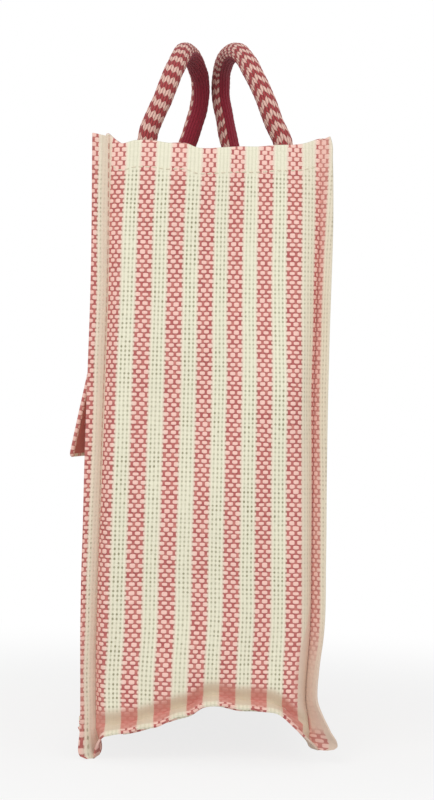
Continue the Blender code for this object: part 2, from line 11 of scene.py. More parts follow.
import bmesh
import bpy
import numpy as np
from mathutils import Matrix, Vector


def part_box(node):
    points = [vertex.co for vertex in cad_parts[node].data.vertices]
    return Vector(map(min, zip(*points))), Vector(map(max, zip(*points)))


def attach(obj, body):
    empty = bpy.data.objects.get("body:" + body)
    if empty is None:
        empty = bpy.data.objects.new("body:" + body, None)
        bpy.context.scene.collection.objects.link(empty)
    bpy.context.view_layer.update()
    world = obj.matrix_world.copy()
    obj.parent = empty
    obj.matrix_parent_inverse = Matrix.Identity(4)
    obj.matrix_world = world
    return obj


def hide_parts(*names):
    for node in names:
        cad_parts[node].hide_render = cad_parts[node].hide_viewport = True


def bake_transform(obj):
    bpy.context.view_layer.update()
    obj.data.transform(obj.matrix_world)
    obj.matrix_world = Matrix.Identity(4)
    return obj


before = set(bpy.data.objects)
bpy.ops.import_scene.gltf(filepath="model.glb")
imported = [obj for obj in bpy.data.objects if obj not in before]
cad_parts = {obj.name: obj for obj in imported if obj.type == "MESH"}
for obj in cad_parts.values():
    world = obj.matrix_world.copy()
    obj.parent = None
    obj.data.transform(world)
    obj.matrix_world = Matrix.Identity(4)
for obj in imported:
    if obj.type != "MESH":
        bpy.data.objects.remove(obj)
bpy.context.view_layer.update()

# Bag body, as in the solids
PANEL_WIDTH = 0.304
GUSSET_HALF_CLOTH = 0.076
BODY_HALF_DEPTH = 0.069
SEAM_HEIGHT = 0.0215
RIM_HEIGHT = 0.404
CLOTH = 0.0013
LAYER_GAP = 0.0003
MOUTH = {-1: (0.041, 0.0255), 1: (0.040, 0.028)}
PINCH_POWER = 1.6
FAR_PULL = 0.004
RIM_DIP = 0.007
BASE_ARCH = 0.018
PANEL_SWELL = 0.002
PLEAT_START = 0.030
PLEAT_FULL = 0.130
FIN = 0.012
LEFT_FIN_ANGLES = (35.0, 74.0)
BASE_FIN_DROP = 22.0
HEM = 0.018
LAYERS = CLOTH + LAYER_GAP
WALL_HEIGHT = RIM_HEIGHT - SEAM_HEIGHT

base_low, base_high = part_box("base_panel")
MIDDLE = np.array(((base_low.x + base_high.x) / 2, (base_low.y + base_high.y) / 2, 0.0))
UPWARD = np.array((0, 0, 1.0))


def srgb(red, green, blue):
    """A colour as read from a picture, 0 to 255, as the renderer's linear values."""
    found = []
    for level in (red, green, blue):
        share = level / 255
        found.append(share / 12.92 if share <= 0.04045 else ((share + 0.055) / 1.055) ** 2.4)
    return (*found, 1.0)


def ease(share):
    share = np.clip(share, 0.0, 1.0)
    return share * share * (3 - 2 * share)


def rise(value, start, run):
    """From 0 at the start to 1 after the run."""
    return ease((value - start) / run)


def ripple(across, along, seed, size):
    """Smooth uneven waves between about -1 and 1, size being their usual length in metres."""
    random = np.random.default_rng(seed)
    total = 0.0
    count = 6
    for _ in range(count):
        angle = random.uniform(0, 2 * math.pi)
        pitch = 2 * math.pi / (size * random.uniform(0.7, 1.8))
        phase = random.uniform(0, 2 * math.pi)
        total = total + np.sin((across * math.cos(angle) + along * math.sin(angle)) * pitch + phase)
    return total / math.sqrt(count)


def waves(across, along, *kinds):
    """The cloth's slack: ripples, each given by its height, stretch, seed and length."""
    return sum(height * ripple(across, along * stretch, seed, size) for height, stretch, seed, size in kinds)


def curve(points, at):
    """A smooth line through (place, value) points, read at the given places."""
    places, values = (np.array(c, float) for c in zip(*points))
    slopes = np.gradient(values, places)
    at = np.clip(at, places[0], places[-1])
    k = np.clip(np.searchsorted(places, at) - 1, 0, len(places) - 2)
    width = places[k + 1] - places[k]
    t = (at - places[k]) / width
    return (
        values[k] * (2 * t**3 - 3 * t**2 + 1)
        + slopes[k] * width * (t**3 - 2 * t**2 + t)
        + values[k + 1] * (3 * t**2 - 2 * t**3)
        + slopes[k + 1] * width * (t**3 - t**2)
    )


def curves(rows, at):
    """Smooth lines through rows of a place and its values, read at the given places."""
    places, *columns = zip(*rows)
    return [curve(list(zip(places, values)), at) for values in columns]


def run_along(points):
    """How far each of a row of points lies along it."""
    return np.concatenate([[0], np.cumsum(np.linalg.norm(np.diff(points, axis=0), axis=1))])


def unit(vectors):
    return vectors / np.linalg.norm(vectors, axis=-1, keepdims=True)


def join(x, y, z):
    """Three arrays that may differ in shape, as one array of points."""
    return np.stack(np.broadcast_arrays(x, y, z), axis=-1).astype(float)


def add_object(name, data):
    made = bpy.data.objects.new(name, data)
    bpy.context.scene.collection.objects.link(made)
    return made


# Surfaces of the bag, as the solids have them, with the lie of the real cloth
BASE_LINE = [  # right gusset's base seam: share of the half depth, height
    (-1.0, 0.0215), (-0.80, 0.0222), (-0.58, 0.0250), (-0.36, 0.0300), (-0.21, 0.0335), (-0.07, 0.0366),
    (0.02, 0.0410), (0.14, 0.0426), (0.36, 0.0400), (0.51, 0.0400), (0.74, 0.0368), (0.87, 0.0303),
    (1.0, 0.0215),
]
GUSSET_RIM_LINE = [  # share of the half depth, distance below the corners
    (-1.0, 0.0022), (-0.90, 0.0078), (-0.75, 0.0060), (-0.57, 0.0062), (-0.45, 0.0074), (-0.24, 0.0079),
    (-0.17, 0.0098), (-0.08, 0.0104), (0.08, 0.0096), (0.26, 0.0086), (0.42, 0.0084), (0.58, 0.0072),
    (0.88, 0.0046), (0.96, 0.0022), (1.0, 0.0014),
]
# The right seams' shift outwards from the plain shape, by height
SEAM_SPREAD = {
    -1: [
        (0.0, -0.0022), (0.0215, -0.0020), (0.048, -0.0015), (0.073, -0.0009), (0.11, -0.0007),
        (0.15, -0.0010), (0.19, -0.0009), (0.25, -0.0011), (0.30, -0.0012), (0.35, -0.0003),
        (0.374, 0.0004), (0.404, 0.0012),
    ],
    1: [
        (0.0, 0.0030), (0.0215, 0.0030), (0.032, 0.0015), (0.041, 0.0), (0.048, -0.0001),
        (0.0635, 0.0006), (0.080, 0.0016), (0.0925, 0.0020), (0.131, 0.0019), (0.1885, 0.0014),
        (0.246, 0.0011), (0.297, 0.0019), (0.3485, 0.0027), (0.404, 0.0024),
    ],
}
SPREAD_WIDTH = 0.060
BASE_RUN = 0.012
BASE_SWELL = 0.5  # how much of the gusset's swell is left at its base seam
# Angles of the right fins, in degrees out from the front and back, by height
FIN_ANGLES = {
    -1: [(0.0, 38.0), (0.0215, 38.0), (0.065, 37.0), (0.13, 31.0), (0.25, 29.0), (0.404, 31.0)],
    1: [
        (0.0, 22.0), (0.0065, 23.0), (0.0215, 38.0), (0.044, 57.0), (0.060, 56.0), (0.085, 47.0),
        (0.13, 46.0), (0.19, 48.0), (0.25, 47.0), (0.30, 49.0), (0.35, 41.0), (0.404, 26.0),
    ],
}
# How much higher than the rim the right fins end, at their stitches and at their cut edge
RIM_TILT = {-1: (-0.0024, -0.0010), 1: (-0.0014, 0.0008)}
TILT_FROM = 0.385
TILT_RUN = RIM_HEIGHT - TILT_FROM
TILT_WIDTH = 0.012  # of the panels, beside the right seams
# The start of the open gusset's fifth red stripe: its place on the cloth, and by height its
# depth and the cloth taken up by a level length of the gusset on its front and its back side
STRIPE_PLACE = 0.07632
STRIPE_LINE = [
    (0.0477, -0.0081, 0.960, 0.990), (0.0669, -0.0075, 0.940, 0.997), (0.0925, -0.0066, 0.942, 1.003),
    (0.1310, -0.0069, 0.956, 1.008), (0.1885, -0.0068, 0.969, 1.032), (0.2460, -0.0069, 0.982, 1.046),
    (0.2970, -0.0075, 1.016, 1.066), (0.3485, -0.0076, 1.027, 1.078), (0.3930, -0.0065, 1.031, 1.114),
]
# By height, how far the gusset stands proud of its front and back seams, and over what distance
GUSSET_EDGES = {
    -1: [
        (0.0, 0.0094, 0.0075), (0.10, 0.0092, 0.0080), (0.20, 0.0090, 0.0090), (0.33, 0.0085, 0.013),
        (0.404, 0.0055, 0.015),
    ],
    1: [
        (0.0, 0.0120, 0.0105), (0.10, 0.0125, 0.0120), (0.20, 0.0125, 0.0145), (0.33, 0.0092, 0.017),
        (0.404, 0.0035, 0.018),
    ],
}
# The waves of each wall, and how far from its seams, its base and its rim they are full
GUSSET_WAVES = [(0.0011, 0.35, 4, 0.040), (0.0014, 1.0, 8, 0.110)]
FOLD_WAVES = [(0.0010, 1.0, 15, 0.080)]
PANEL_WAVES = {
    -1: [(0.0012, 0.5, 19, 0.090), (0.0010, 1.0, 29, 0.160)],
    1: [(0.0012, 0.5, 21, 0.090), (0.0010, 1.0, 31, 0.160)],
}
GUSSET_CALM = 0.02
CALM = 0.03
RIM_CALM = 0.05
SWELL_RUN = 0.010
FOLD_ROUNDING = 0.04  # of the left gusset's crease, as a share of its half depth
FOLD_RISE = 0.009  # how far the left gusset stands out where it isn't folded in
FOLD_RISE_RUN = 0.012


def pinch(height):
    share = np.clip((height - SEAM_HEIGHT) / WALL_HEIGHT, 0.0, 1.0)
    return share**PINCH_POWER


def corner_spread(side, x, height):
    near_corner = ease((x - PANEL_WIDTH / 2 + SPREAD_WIDTH) / SPREAD_WIDTH)
    return near_corner * curve(SEAM_SPREAD[side], height)


def plain_depth(side, x, height):
    middle, change = MOUTH[side]
    at_rim = middle + change * np.sin(np.pi * np.asarray(x) / PANEL_WIDTH)
    return BODY_HALF_DEPTH + (at_rim - BODY_HALF_DEPTH) * pinch(height)


def half_depth(side, x, height):
    return plain_depth(side, x, height) + corner_spread(side, x, height)


def by_side(share, measure, x, height):
    """A measure of the front or the back half, by the sign of the share."""
    return np.where(share > 0, measure(1, x, height), measure(-1, x, height))


def seam_x(end, height):
    pull = FAR_PULL * pinch(height) if end < 0 else 0.0 * height
    return end * (PANEL_WIDTH / 2 - pull)


def upright_seam(end, side, height):
    x = seam_x(end, height)
    return join(x, side * half_depth(side, x, height), height)


# How each ear hangs: splay outwards, reach past the seam line, tip's height
EARS = {
    (1, -1): (0.0012, 0.0058, 0.0003),
    (1, 1): (0.0070, 0.0078, 0.0095),
    (-1, -1): (0.002, 0.0055, 0.0008),
    (-1, 1): (0.004, 0.0055, 0.0008),
}
SPLAY_TOP = {(1, -1): 0.022, (1, 1): 0.046, (-1, -1): 0.022, (-1, 1): 0.028}
EAR_SHOULDER = 0.0065
EAR_TIP = 0.0060
FIN_TRIM = 0.0018  # the panels' fins are cut this much shorter than the gussets'
# The right back fin's width by height, as a share of the full width
FIN_CUT = [(0.0, 1.0), (0.27, 1.0), (0.30, 0.99), (0.35, 0.84), (0.39, 0.66), (0.40, 0.60), (0.404, 0.48)]


def fin_width(end_side, height):
    """From the stitches to the cut edge, by height."""
    return FIN * (curve(FIN_CUT, height) if end_side == (1, 1) else 1 + 0 * height)


def fin_directions(end, side, height):
    if end > 0:
        angle = np.radians(curve(FIN_ANGLES[side], height))
    else:
        least, most = LEFT_FIN_ANGLES
        angle = np.radians(least + (most - least) * pinch(height))
    outward = join(end * np.sin(angle), side * np.cos(angle), 0.0)
    to_gusset = join(end * np.cos(angle), -side * np.sin(angle), 0.0)
    return outward, to_gusset


def fin_place(end, side, height, share, layer):
    """Points of an upright fin and its ear: share is 0 at the stitches, 1 at the cut edge."""
    splay, reach, tip = EARS[end, side]
    height, share = np.broadcast_arrays(height, share)
    held = np.maximum(height, SEAM_HEIGHT)
    splay_top = SPLAY_TOP[end, side]
    down = ease((SEAM_HEIGHT - height) / (SEAM_HEIGHT - EAR_SHOULDER))
    swing = splay * ease((splay_top - height) / (splay_top - EAR_SHOULDER))
    outer = fin_width((end, side), height) - FIN_TRIM * (layer < 0) + swing
    inner = (swing - reach) * down
    low = np.clip(1 - height / EAR_SHOULDER, 0.0, 1.0)
    narrowing = (outer - inner - EAR_TIP) / 2 * (1 - np.sqrt(1 - low**2))
    inner, outer = inner + narrowing, outer - narrowing
    outward, to_gusset = fin_directions(end, side, height)
    place = upright_seam(end, side, held)
    place = place + outward * (inner + (outer - inner) * share)[..., None]
    place = place + to_gusset * (layer * LAYERS / 2)
    lifted = SEAM_HEIGHT - (SEAM_HEIGHT - height) * (SEAM_HEIGHT - tip) / SEAM_HEIGHT
    place[..., 2] = np.where(height < SEAM_HEIGHT, lifted, height)
    if end > 0:
        at_seam, at_edge = RIM_TILT[side]
        place[..., 2] += (at_seam + (at_edge - at_seam) * share) * rise(height, TILT_FROM, TILT_RUN)
    return place


def base_height(x_share, depth_share):
    """The arched base: the plain arch at the left, the seen seam line at the right gusset."""
    arch = SEAM_HEIGHT + BASE_ARCH * (1 - depth_share**2)
    seen = curve(BASE_LINE, depth_share)
    return arch + (seen - arch) * ease((x_share + 1) / 2)


def gusset_section(share, height):
    """The open gusset's level section: depth, and how far it stands out from its seams."""
    seam = seam_x(1, height)
    plain = by_side(share, plain_depth, seam, height)
    spread = by_side(share, corner_spread, seam, height)
    y = share * plain + np.sign(share) * spread * np.abs(share) ** 6
    at_front, front_run = curves(GUSSET_EDGES[-1], height)
    at_back, back_run = curves(GUSSET_EDGES[1], height)
    run = np.where(share > 0, back_run, front_run)
    rounded = 1 - (1 - np.clip((plain + spread - np.abs(y)) / run, 0, 1)) ** 2
    return y, (at_front + (at_back - at_front) * (share + 1) / 2) * rounded


def right_gusset(share, up):
    seam = seam_x(1, RIM_HEIGHT)
    low = base_height(1.0, share)
    high = RIM_HEIGHT - curve(GUSSET_RIM_LINE, share)
    height = low + (high - low) * up
    share = share + 0 * height
    y, swell = gusset_section(share, height)
    swell = swell * (BASE_SWELL + (1 - BASE_SWELL) * ease((height - low) / BASE_RUN))
    inner = ease((1 - np.abs(share)) * BODY_HALF_DEPTH / GUSSET_CALM) * ease((height - low) / CALM)
    return join(seam + swell + waves(y, height, *GUSSET_WAVES) * inner, y, height)


def left_gusset(share, up):
    """The left gusset as seen from its outside, from the back seam to the front one."""
    share = -share
    rounded = np.sqrt(share**2 + FOLD_ROUNDING**2) - FOLD_ROUNDING
    rounded = rounded / (math.sqrt(1 + FOLD_ROUNDING**2) - FOLD_ROUNDING)
    low = base_height(-1.0, share)
    high = RIM_HEIGHT - RIM_DIP * (1 - rounded)
    height = low + (high - low) * up
    seam = seam_x(-1, height)
    depth = by_side(share, half_depth, seam, height)
    open_share = rise(height, PLEAT_START, PLEAT_FULL - PLEAT_START)
    fold = np.sqrt(np.maximum(GUSSET_HALF_CLOTH**2 - depth**2, 0.0)) * open_share
    from_side = (1 - np.abs(share)) * depth
    proud = FOLD_RISE * ease(from_side / FOLD_RISE_RUN) * ease((height - low) / BASE_RUN)
    x = seam + fold * (1 - rounded) - proud * (1 - open_share)
    inner = ease(from_side / GUSSET_CALM) * ease((height - low) / CALM)
    return join(x + waves(share * depth, height, *FOLD_WAVES) * inner, share * depth, height)


def panel(side, x, height):
    """The front (-1) or back (1) panel between its upright seams."""
    from_side = np.minimum(x - seam_x(-1, height), seam_x(1, height) - x)
    from_base = height - SEAM_HEIGHT
    swell = PANEL_SWELL * ease(np.minimum(from_side, from_base) / SWELL_RUN)
    inner = ease(from_side / CALM) * ease(from_base / CALM) * ease((RIM_HEIGHT - height) / RIM_CALM)
    slack = waves(x, height, *PANEL_WAVES[side]) * inner
    return join(x, side * (half_depth(side, x, height) + swell + slack), height)


def panel_wall(side):
    def place(share, up):
        height = SEAM_HEIGHT + WALL_HEIGHT * up
        left, right = seam_x(-1, height), seam_x(1, height)
        x = (left + right) / 2 - side * share * (right - left) / 2
        near_corner = ease(1 - (right - x) / TILT_WIDTH) * rise(height, TILT_FROM, TILT_RUN)
        return panel(side, x, height + RIM_TILT[side][0] * near_corner)

    return place


# Cloth shells

SHARP_ANGLE = 50
# The first three facts are painted: shade in the seam valleys, shade in the band above the base seam, and in
# the creases cream in place of red, partly the cloth's own cream and partly painted light that softens their
# shadow.
FACTS = ("worn", "faded", "bare", "hem")  # what the weave knows of each place, 0 to 1
FIN_STEPS = 6
FIN_SHARES = np.linspace(1, 0, FIN_STEPS)
FACE_COLUMNS = {"gusset": 96, "panel": 128}
FACE_ROWS = 170
FACE_CROWDING = (0.6, 0.4)  # across and upwards
EAR_STEPS = 12
TURN_RADIUS = LAYERS / 2  # of cloth folded over at a hem
HEM_TURNS = np.linspace(0, math.pi, 5)[1:]
HEM_DROPS = np.linspace(0, HEM, 6)[1:]
CLOTH_WIDTH = {"gusset": 2 * GUSSET_HALF_CLOTH, "panel": PANEL_WIDTH}
BASE_LIFT = (LAYERS + LAYER_GAP) / 2  # of a wall over the base, and of the base under it
SIDE_LIFT_RUN = 0.008
BASE_LIFT_RUN = 0.006
BASE_FIN_WAVE = (0.0008, 0.3)
STEADY_HEIGHT = 0.075  # below this the stripes run straight down
CORNER_RUN = {(1, -1): 0.008, (1, 1): 0.020, (-1, -1): 0.010, (-1, 1): 0.010}
BAND = 0.006  # the band above the base seam, painted in shade with its weave smoothed
BAND_ON_FIN = 0.0075
DENSE_ON_FIN = 0.007

# Painted shade along the upright seams, the weave smoothed to one soft tone: how far from the stitches a fin
# is smooth, how smooth it is high up, how much deeper the corner's shade is low down, how much shade a strip
# beside the seam has at its foot and at its top, and how pale a red stripe is in the seam, painted light that
# softens the crease's shadow
SEAM_VALLEY_PAINT = {
    (1, -1): (0.0062, 0.6, 0.3, (0.0, 0.0), 0.0),
    (1, 1): (0.0120, 0.25, 1.0, (0.45, 0.20), 0.35),
    (-1, -1): (0.0062, 0.6, 0.3, (0.0, 0.0), 0.0),
    (-1, 1): (0.0120, 0.6, 0.3, (0.0, 0.0), 0.0),
}
SHADED_STRIP = 0.0125  # width of the strip beside a seam that has painted shade
# Heights where the corners' deeper painted shade ends, where the strip's changes and where the crease's cream
# and painted light start, each with the run that it takes
DEEP_SHADE_ENDS = (0.055, 0.060)
STRIP_CHANGE = (0.20, 0.15)
CREASE_PAINT_FROM = (0.014, 0.012)


def grid_normals(points):
    return unit(np.cross(np.gradient(points, axis=1), np.gradient(points, axis=0)) + 1e-12)


def cloth_mesh(name, points, faces, places, by_corner=False):
    """A mesh whose map holds places on the cloth, given for its vertices or its faces' corners."""
    mesh = bpy.data.meshes.new(name)
    mesh.from_pydata((np.asarray(points) + MIDDLE).tolist(), [], faces)
    if not by_corner:
        corners = np.zeros(len(mesh.loops), np.int32)
        mesh.loops.foreach_get("vertex_index", corners)
        places = np.asarray(places)[corners]
    layer = mesh.uv_layers.new(name="cloth")
    layer.data.foreach_set("uv", places.ravel().astype(np.float32))
    return mesh


def finish_piece(name, mesh, body, slot, look=None):
    clean = bmesh.new()
    clean.from_mesh(mesh)
    loose = [v for v in clean.verts if not v.link_faces]
    bmesh.ops.delete(clean, geom=loose, context="VERTS")
    clean.to_mesh(mesh)
    clean.free()
    mesh.validate()
    mesh.shade_smooth()
    mesh.set_sharp_from_angle(angle=math.radians(SHARP_ANGLE))
    mesh.materials.append(look or LOOKS[slot])
    made = add_object(name, mesh)
    if body is not None:
        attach(made, body)
    return made


def shell(name, points, u, v, thickness, body, slot, cells=None, **facts):
    """A closed cloth shell around a grid of points. cells tells which of its cells are cloth."""
    rows, columns = points.shape[:2]
    if cells is None:
        cells = np.ones((rows - 1, columns - 1), bool)
    lift = grid_normals(points) * thickness / 2
    r, c = (at[:, None] for at in np.nonzero(cells))
    quads = ((r + (0, 0, 1, 1)) * columns + c + (0, 1, 1, 0)).tolist()
    edges = {edge: True for quad in quads for edge in zip(quad, quad[1:] + quad[:1])}
    count = rows * columns
    sides = [(a, a + count, b + count, b) for a, b in edges if (b, a) not in edges]
    faces = quads + [[corner + count for corner in reversed(quad)] for quad in quads] + sides
    vertices = np.concatenate([points + lift, points - lift]).reshape(-1, 3)
    places = np.stack(np.broadcast_arrays(u, v), axis=-1).reshape(-1, 2)
    mesh = cloth_mesh(name, vertices, faces, np.concatenate([places, places]))
    for fact in FACTS:
        values = np.broadcast_to(facts.get(fact, 0.0), (rows, columns)).ravel()
        layer = mesh.attributes.new(fact, "FLOAT", "POINT")
        layer.data.foreach_set("value", np.concatenate([values, values]).astype(np.float32))
    return finish_piece(name, mesh, body, slot)


def steps(count, crowd):
    """Shares from 0 to 1, closer together at both ends."""
    even = np.linspace(0, 1, count)
    return even + crowd * (0.5 - 0.5 * np.cos(np.pi * even) - even)


def base_directions(outward):
    """Along a hanging base fin, and square to it."""
    drop = math.radians(BASE_FIN_DROP)
    outward = np.array(outward, float)
    along = outward * math.cos(drop) - UPWARD * math.sin(drop)
    across = outward * math.sin(drop) + UPWARD * math.cos(drop)
    return along, across


def in_hem(distance, width):
    """1 within a hem, by the distance from its folded edge."""
    return 1 - rise(distance, width - 0.001, 0.002)


def turned(edge, inward):
    """Rows of cloth that is folded over at an edge."""
    return [edge + TURN_RADIUS * (inward * (1 - math.cos(t)) + UPWARD * math.sin(t)) for t in HEM_TURNS]


def seam_valley_paint(end_side, distance, height):
    """How much painted shade a seam's valley has, and how much cream its crease has, partly the cloth's own
    and partly painted light, by the distance from a seam (less than 0 on the fin).
    """
    smooth, least, corner, strip, pale = SEAM_VALLEY_PAINT[end_side]
    low = corner * (1 - rise(height, *DEEP_SHADE_ENDS))
    on_fin = (1 - rise(-distance, smooth, 0.0012)) * (least + (1 - least) * low)
    beside = 1 - rise(distance, 0.0008 + SHADED_STRIP * low, 0.0028)
    strip = strip[0] + (strip[1] - strip[0]) * rise(height, *STRIP_CHANGE)
    beside = np.maximum(beside, strip * (1 - rise(distance, SHADED_STRIP, 0.002)))
    bare = np.maximum(low * rise(height, *CREASE_PAINT_FROM), pale) * (1 - rise(distance, 0.0015, 0.001))
    return np.where(distance < 0, on_fin, beside), bare


def wall(name, kind, place, ends, hem_range):
    """One wall in one piece: fins and ears at both sides, base fin below, turned hem at the rim.

    place(share, up) gives its surface, and ends the (end, side) of its first and last upright
    seams. hem_range is where its hem lies inside it, as shares of its width.
    """
    layer = 1 if kind == "gusset" else -1
    along, across = base_directions((*np.mean(ends, axis=0), 0.0))
    share = (steps(FACE_COLUMNS[kind], FACE_CROWDING[0]) * 2 - 1)[None, 1:-1]
    up = steps(FACE_ROWS, FACE_CROWDING[1])[:, None]
    at_base = np.full((1, 1), SEAM_HEIGHT)
    seam_points = place(share, np.zeros((1, 1)))
    from_ends = [np.linalg.norm(seam_points - upright_seam(*end, at_base), axis=-1) for end in ends]

    def side_lift(height):
        """The seam layers' offset, fading out over the first millimetres of the face."""
        found = 0.0
        for end, distance in zip(ends, from_ends):
            _, to_gusset = fin_directions(*end, height)
            found = found + to_gusset * ((1 - ease(distance / SIDE_LIFT_RUN)) * layer * LAYERS / 2)[..., None]
        return found

    inner = math.prod(ease(distance / CORNER_RUN[end]) for end, distance in zip(ends, from_ends))
    seam_heights = SEAM_HEIGHT + WALL_HEIGHT * up
    face = place(share, up) + side_lift(seam_heights)
    above = face[..., 2] - seam_points[..., 2]
    face = face + across * BASE_LIFT * ((1 - ease(above / BASE_LIFT_RUN)) * inner)[..., None]

    ear_heights = np.linspace(0.0, SEAM_HEIGHT, EAR_STEPS, endpoint=False)[:, None]
    fin_heights = np.concatenate([ear_heights, seam_heights])
    first_fin = fin_place(*ends[0], fin_heights, FIN_SHARES[None, :], layer)
    last_fin = fin_place(*ends[1], fin_heights, FIN_SHARES[None, ::-1], layer)
    fall = (1 - ear_heights / SEAM_HEIGHT)[..., None]
    wave, wave_size = BASE_FIN_WAVE
    wavy = wave * ripple(share[0], 0.0, sum(name.encode()), wave_size)[:, None]
    hanging = seam_points + (across * BASE_LIFT + along * FIN * fall + across * (wavy * fall))
    hanging = hanging + side_lift(at_base)
    for end, distance in zip(ends, from_ends):
        edge = fin_place(*end, ear_heights, np.zeros((1, 1)), layer)
        hanging = hanging + (edge - hanging) * (1 - ease(distance / CORNER_RUN[end]))[..., None]
    grid = np.concatenate([first_fin, np.concatenate([hanging, face]), last_fin], axis=1)
    seam_row, rim_row = EAR_STEPS, len(grid) - 1

    inward = unit(-grid_normals(grid[-3:])[-1] * (1, 1, 0))
    turned_in = turned(grid[rim_row], inward)
    for drop in HEM_DROPS:
        row = grid[rim_row] - UPWARD * drop
        row[FIN_STEPS:-FIN_STEPS] = place(share, np.full((1, 1), 1 - drop / WALL_HEIGHT))[0]
        turned_in.append(row + inward * 2 * TURN_RADIUS)
    grid = np.concatenate([grid, np.array(turned_in)])
    rows, columns = grid.shape[:2]
    cells = np.ones((rows - 1, columns - 1), bool)
    shares = np.pad(share[0], FIN_STEPS, constant_values=(-2.0, 2.0))
    cells[rim_row:] = (shares[:-1] >= hem_range[0]) & (shares[1:] <= hem_range[1])

    stitched = slice(FIN_STEPS - 1, columns - FIN_STEPS + 1)
    level = np.linalg.norm(np.diff(grid[:, stitched, :2], axis=1), axis=-1)
    run = np.pad(np.cumsum(level, axis=1), ((0, 0), (1, 0)))
    steady_row = seam_row + int(np.searchsorted(seam_heights[:, 0], STEADY_HEIGHT))
    run[:steady_row] = run[steady_row]
    run[rim_row:] = run[rim_row]
    u = np.empty((rows, columns))
    u[:, stitched] = FIN + CLOTH_WIDTH[kind] * run / run[:, -1:]
    if place is right_gusset:  # its weave is held to where one stripe is seen
        for row in range(rows):
            held = grid[min(max(row, seam_row), rim_row), stitched]
            depth, front, back = curves(STRIPE_LINE, held[len(held) // 2, 2])
            from_line = run[row] - np.interp(depth, held[:, 1], run[row])
            u[row, stitched] = STRIPE_PLACE + from_line * np.where(from_line < 0, front, back)
    height = grid[:, :, 2]
    first_seam, last_seam = u[:, [FIN_STEPS - 1]], u[:, [columns - FIN_STEPS]]
    u[:, :FIN_STEPS] = first_seam - fin_width(ends[0], height[:, :1]) * FIN_SHARES
    u[:, columns - FIN_STEPS :] = last_seam + fin_width(ends[1], height[:, :1]) * FIN_SHARES[::-1]

    from_base = height - height[seam_row]
    from_base[:seam_row] = -FIN * fall[..., 0]
    v = height - SEAM_HEIGHT
    v[:seam_row] = v[seam_row] + from_base[:seam_row]
    past_rim = np.concatenate([TURN_RADIUS * HEM_TURNS, TURN_RADIUS * math.pi + HEM_DROPS])
    v[rim_row + 1 :] = v[rim_row] + past_rim[:, None]
    on_face = (u >= first_seam) & (u <= last_seam)
    # Painted shade along the seams and in the band above the base seam, and cream with painted light in the
    # creases.
    seam_paints = [seam_valley_paint(ends[0], u - first_seam, height), seam_valley_paint(ends[1], last_seam - u, height)]
    worn, bare = np.array(seam_paints).max(axis=0)
    on_fin = 1 - rise(-from_base, BAND_ON_FIN, 0.001)
    faded = np.where(from_base < 0, on_fin, 1 - rise(from_base, BAND, BAND)) * on_face
    hem = np.maximum(in_hem(v[rim_row] - v, HEM), (from_base < -DENSE_ON_FIN) * on_face)
    return shell(
        name, grid, u, v, CLOTH, "bag", "striped_jute", cells, worn=worn, faded=faded, bare=bare, hem=hem
    )


BASE_FIN_TRIM = 0.0022  # the base's fins are cut this much shorter than the walls'
BASE_GRID = (60, 100)
BASE_CROWDING = 0.3
BASE_WAVE = (0.0012, 1.0, 40, 0.08)
BASE_CALM = 0.3
CORNER_PULL = (0.0018, 0.0014, 0.0004)  # by which the base is drawn in at its corners
CORNER_PULL_RUN = 0.014


def add_base():
    """The base with the lower layer of its four fins."""
    half = PANEL_WIDTH / 2
    past = np.ones(FIN_STEPS - 1)
    ys, xs = (np.concatenate([-past, steps(count, BASE_CROWDING) * 2 - 1, past]) for count in BASE_GRID)
    fin_y, fin_x = (
        np.concatenate([FIN_SHARES[:-1], np.zeros(count), FIN_SHARES[::-1][1:]]) for count in BASE_GRID
    )
    ys, fin_y, xs, fin_x = ys[::-1, None], fin_y[:, None], xs[None, :], fin_x[None, :]
    slack = waves(xs * half, ys * BODY_HALF_DEPTH, BASE_WAVE) * ease((1 - np.abs(xs)) / BASE_CALM)
    height = base_height(xs, ys)
    _, swell = gusset_section(ys + 0 * xs, height)
    x = xs * half + BASE_SWELL * swell * np.maximum(xs, 0) ** 8
    height = height + slack * ease((1 - np.abs(ys)) / BASE_CALM)
    at = join(x, ys * by_side(ys, half_depth, xs * half, SEAM_HEIGHT), height)
    taper = 1.0
    for (end, side), run in CORNER_RUN.items():
        away = np.maximum((1 - end * xs) * half, (1 - side * ys) * BODY_HALF_DEPTH)
        taper = taper * ease((away - FIN) / run)
        pull = np.array(CORNER_PULL) * (-end, -side, 1)
        at = at + pull * (1 - ease(away / CORNER_PULL_RUN))[..., None]
    points = at
    for direction, share, edge in (
        ((0, 1, 0), fin_y, ys == 1),
        ((0, -1, 0), fin_y, ys == -1),
        ((1, 0, 0), fin_x, xs == 1),
        ((-1, 0, 0), fin_x, xs == -1),
    ):
        along, across = base_directions(direction)
        shift = along * ((FIN - BASE_FIN_TRIM) * share)[..., None] - across * BASE_LIFT
        points = np.where(edge[..., None], at + shift * taper[..., None], points)
    inside = []
    for count in points.shape[:2]:
        cell = np.arange(count - 1)
        inside.append(np.minimum(cell, count - 2 - cell) >= FIN_STEPS)
    cells = inside[0][:, None] | inside[1]
    u = ys * BODY_HALF_DEPTH + np.sign(ys) * fin_y * FIN
    v = xs * half + np.sign(xs) * fin_x * FIN
    return shell("base_cloth", points, u, v, CLOTH, "bag", "striped_jute", cells)


# Node materials


class Wire:
    """One output of a node, usable in formulas."""

    def __init__(self, net, socket):
        self.net = net
        self.socket = socket

    def __rsub__(self, other):
        return self.net.math("SUBTRACT", other, self)

    def cosine(self):
        return self.net.math("COSINE", self * math.pi)

    def fade(self, low, high, start=0.0):
        """From start at low to 1 at high, smooth between."""
        inputs = {0: self, 1: low, 2: high, 3: start}
        return self.net.node("MapRange", inputs, interpolation_type="SMOOTHSTEP")


def formula(operation):
    return lambda wire, *others: wire.net.math(operation, wire, *others)


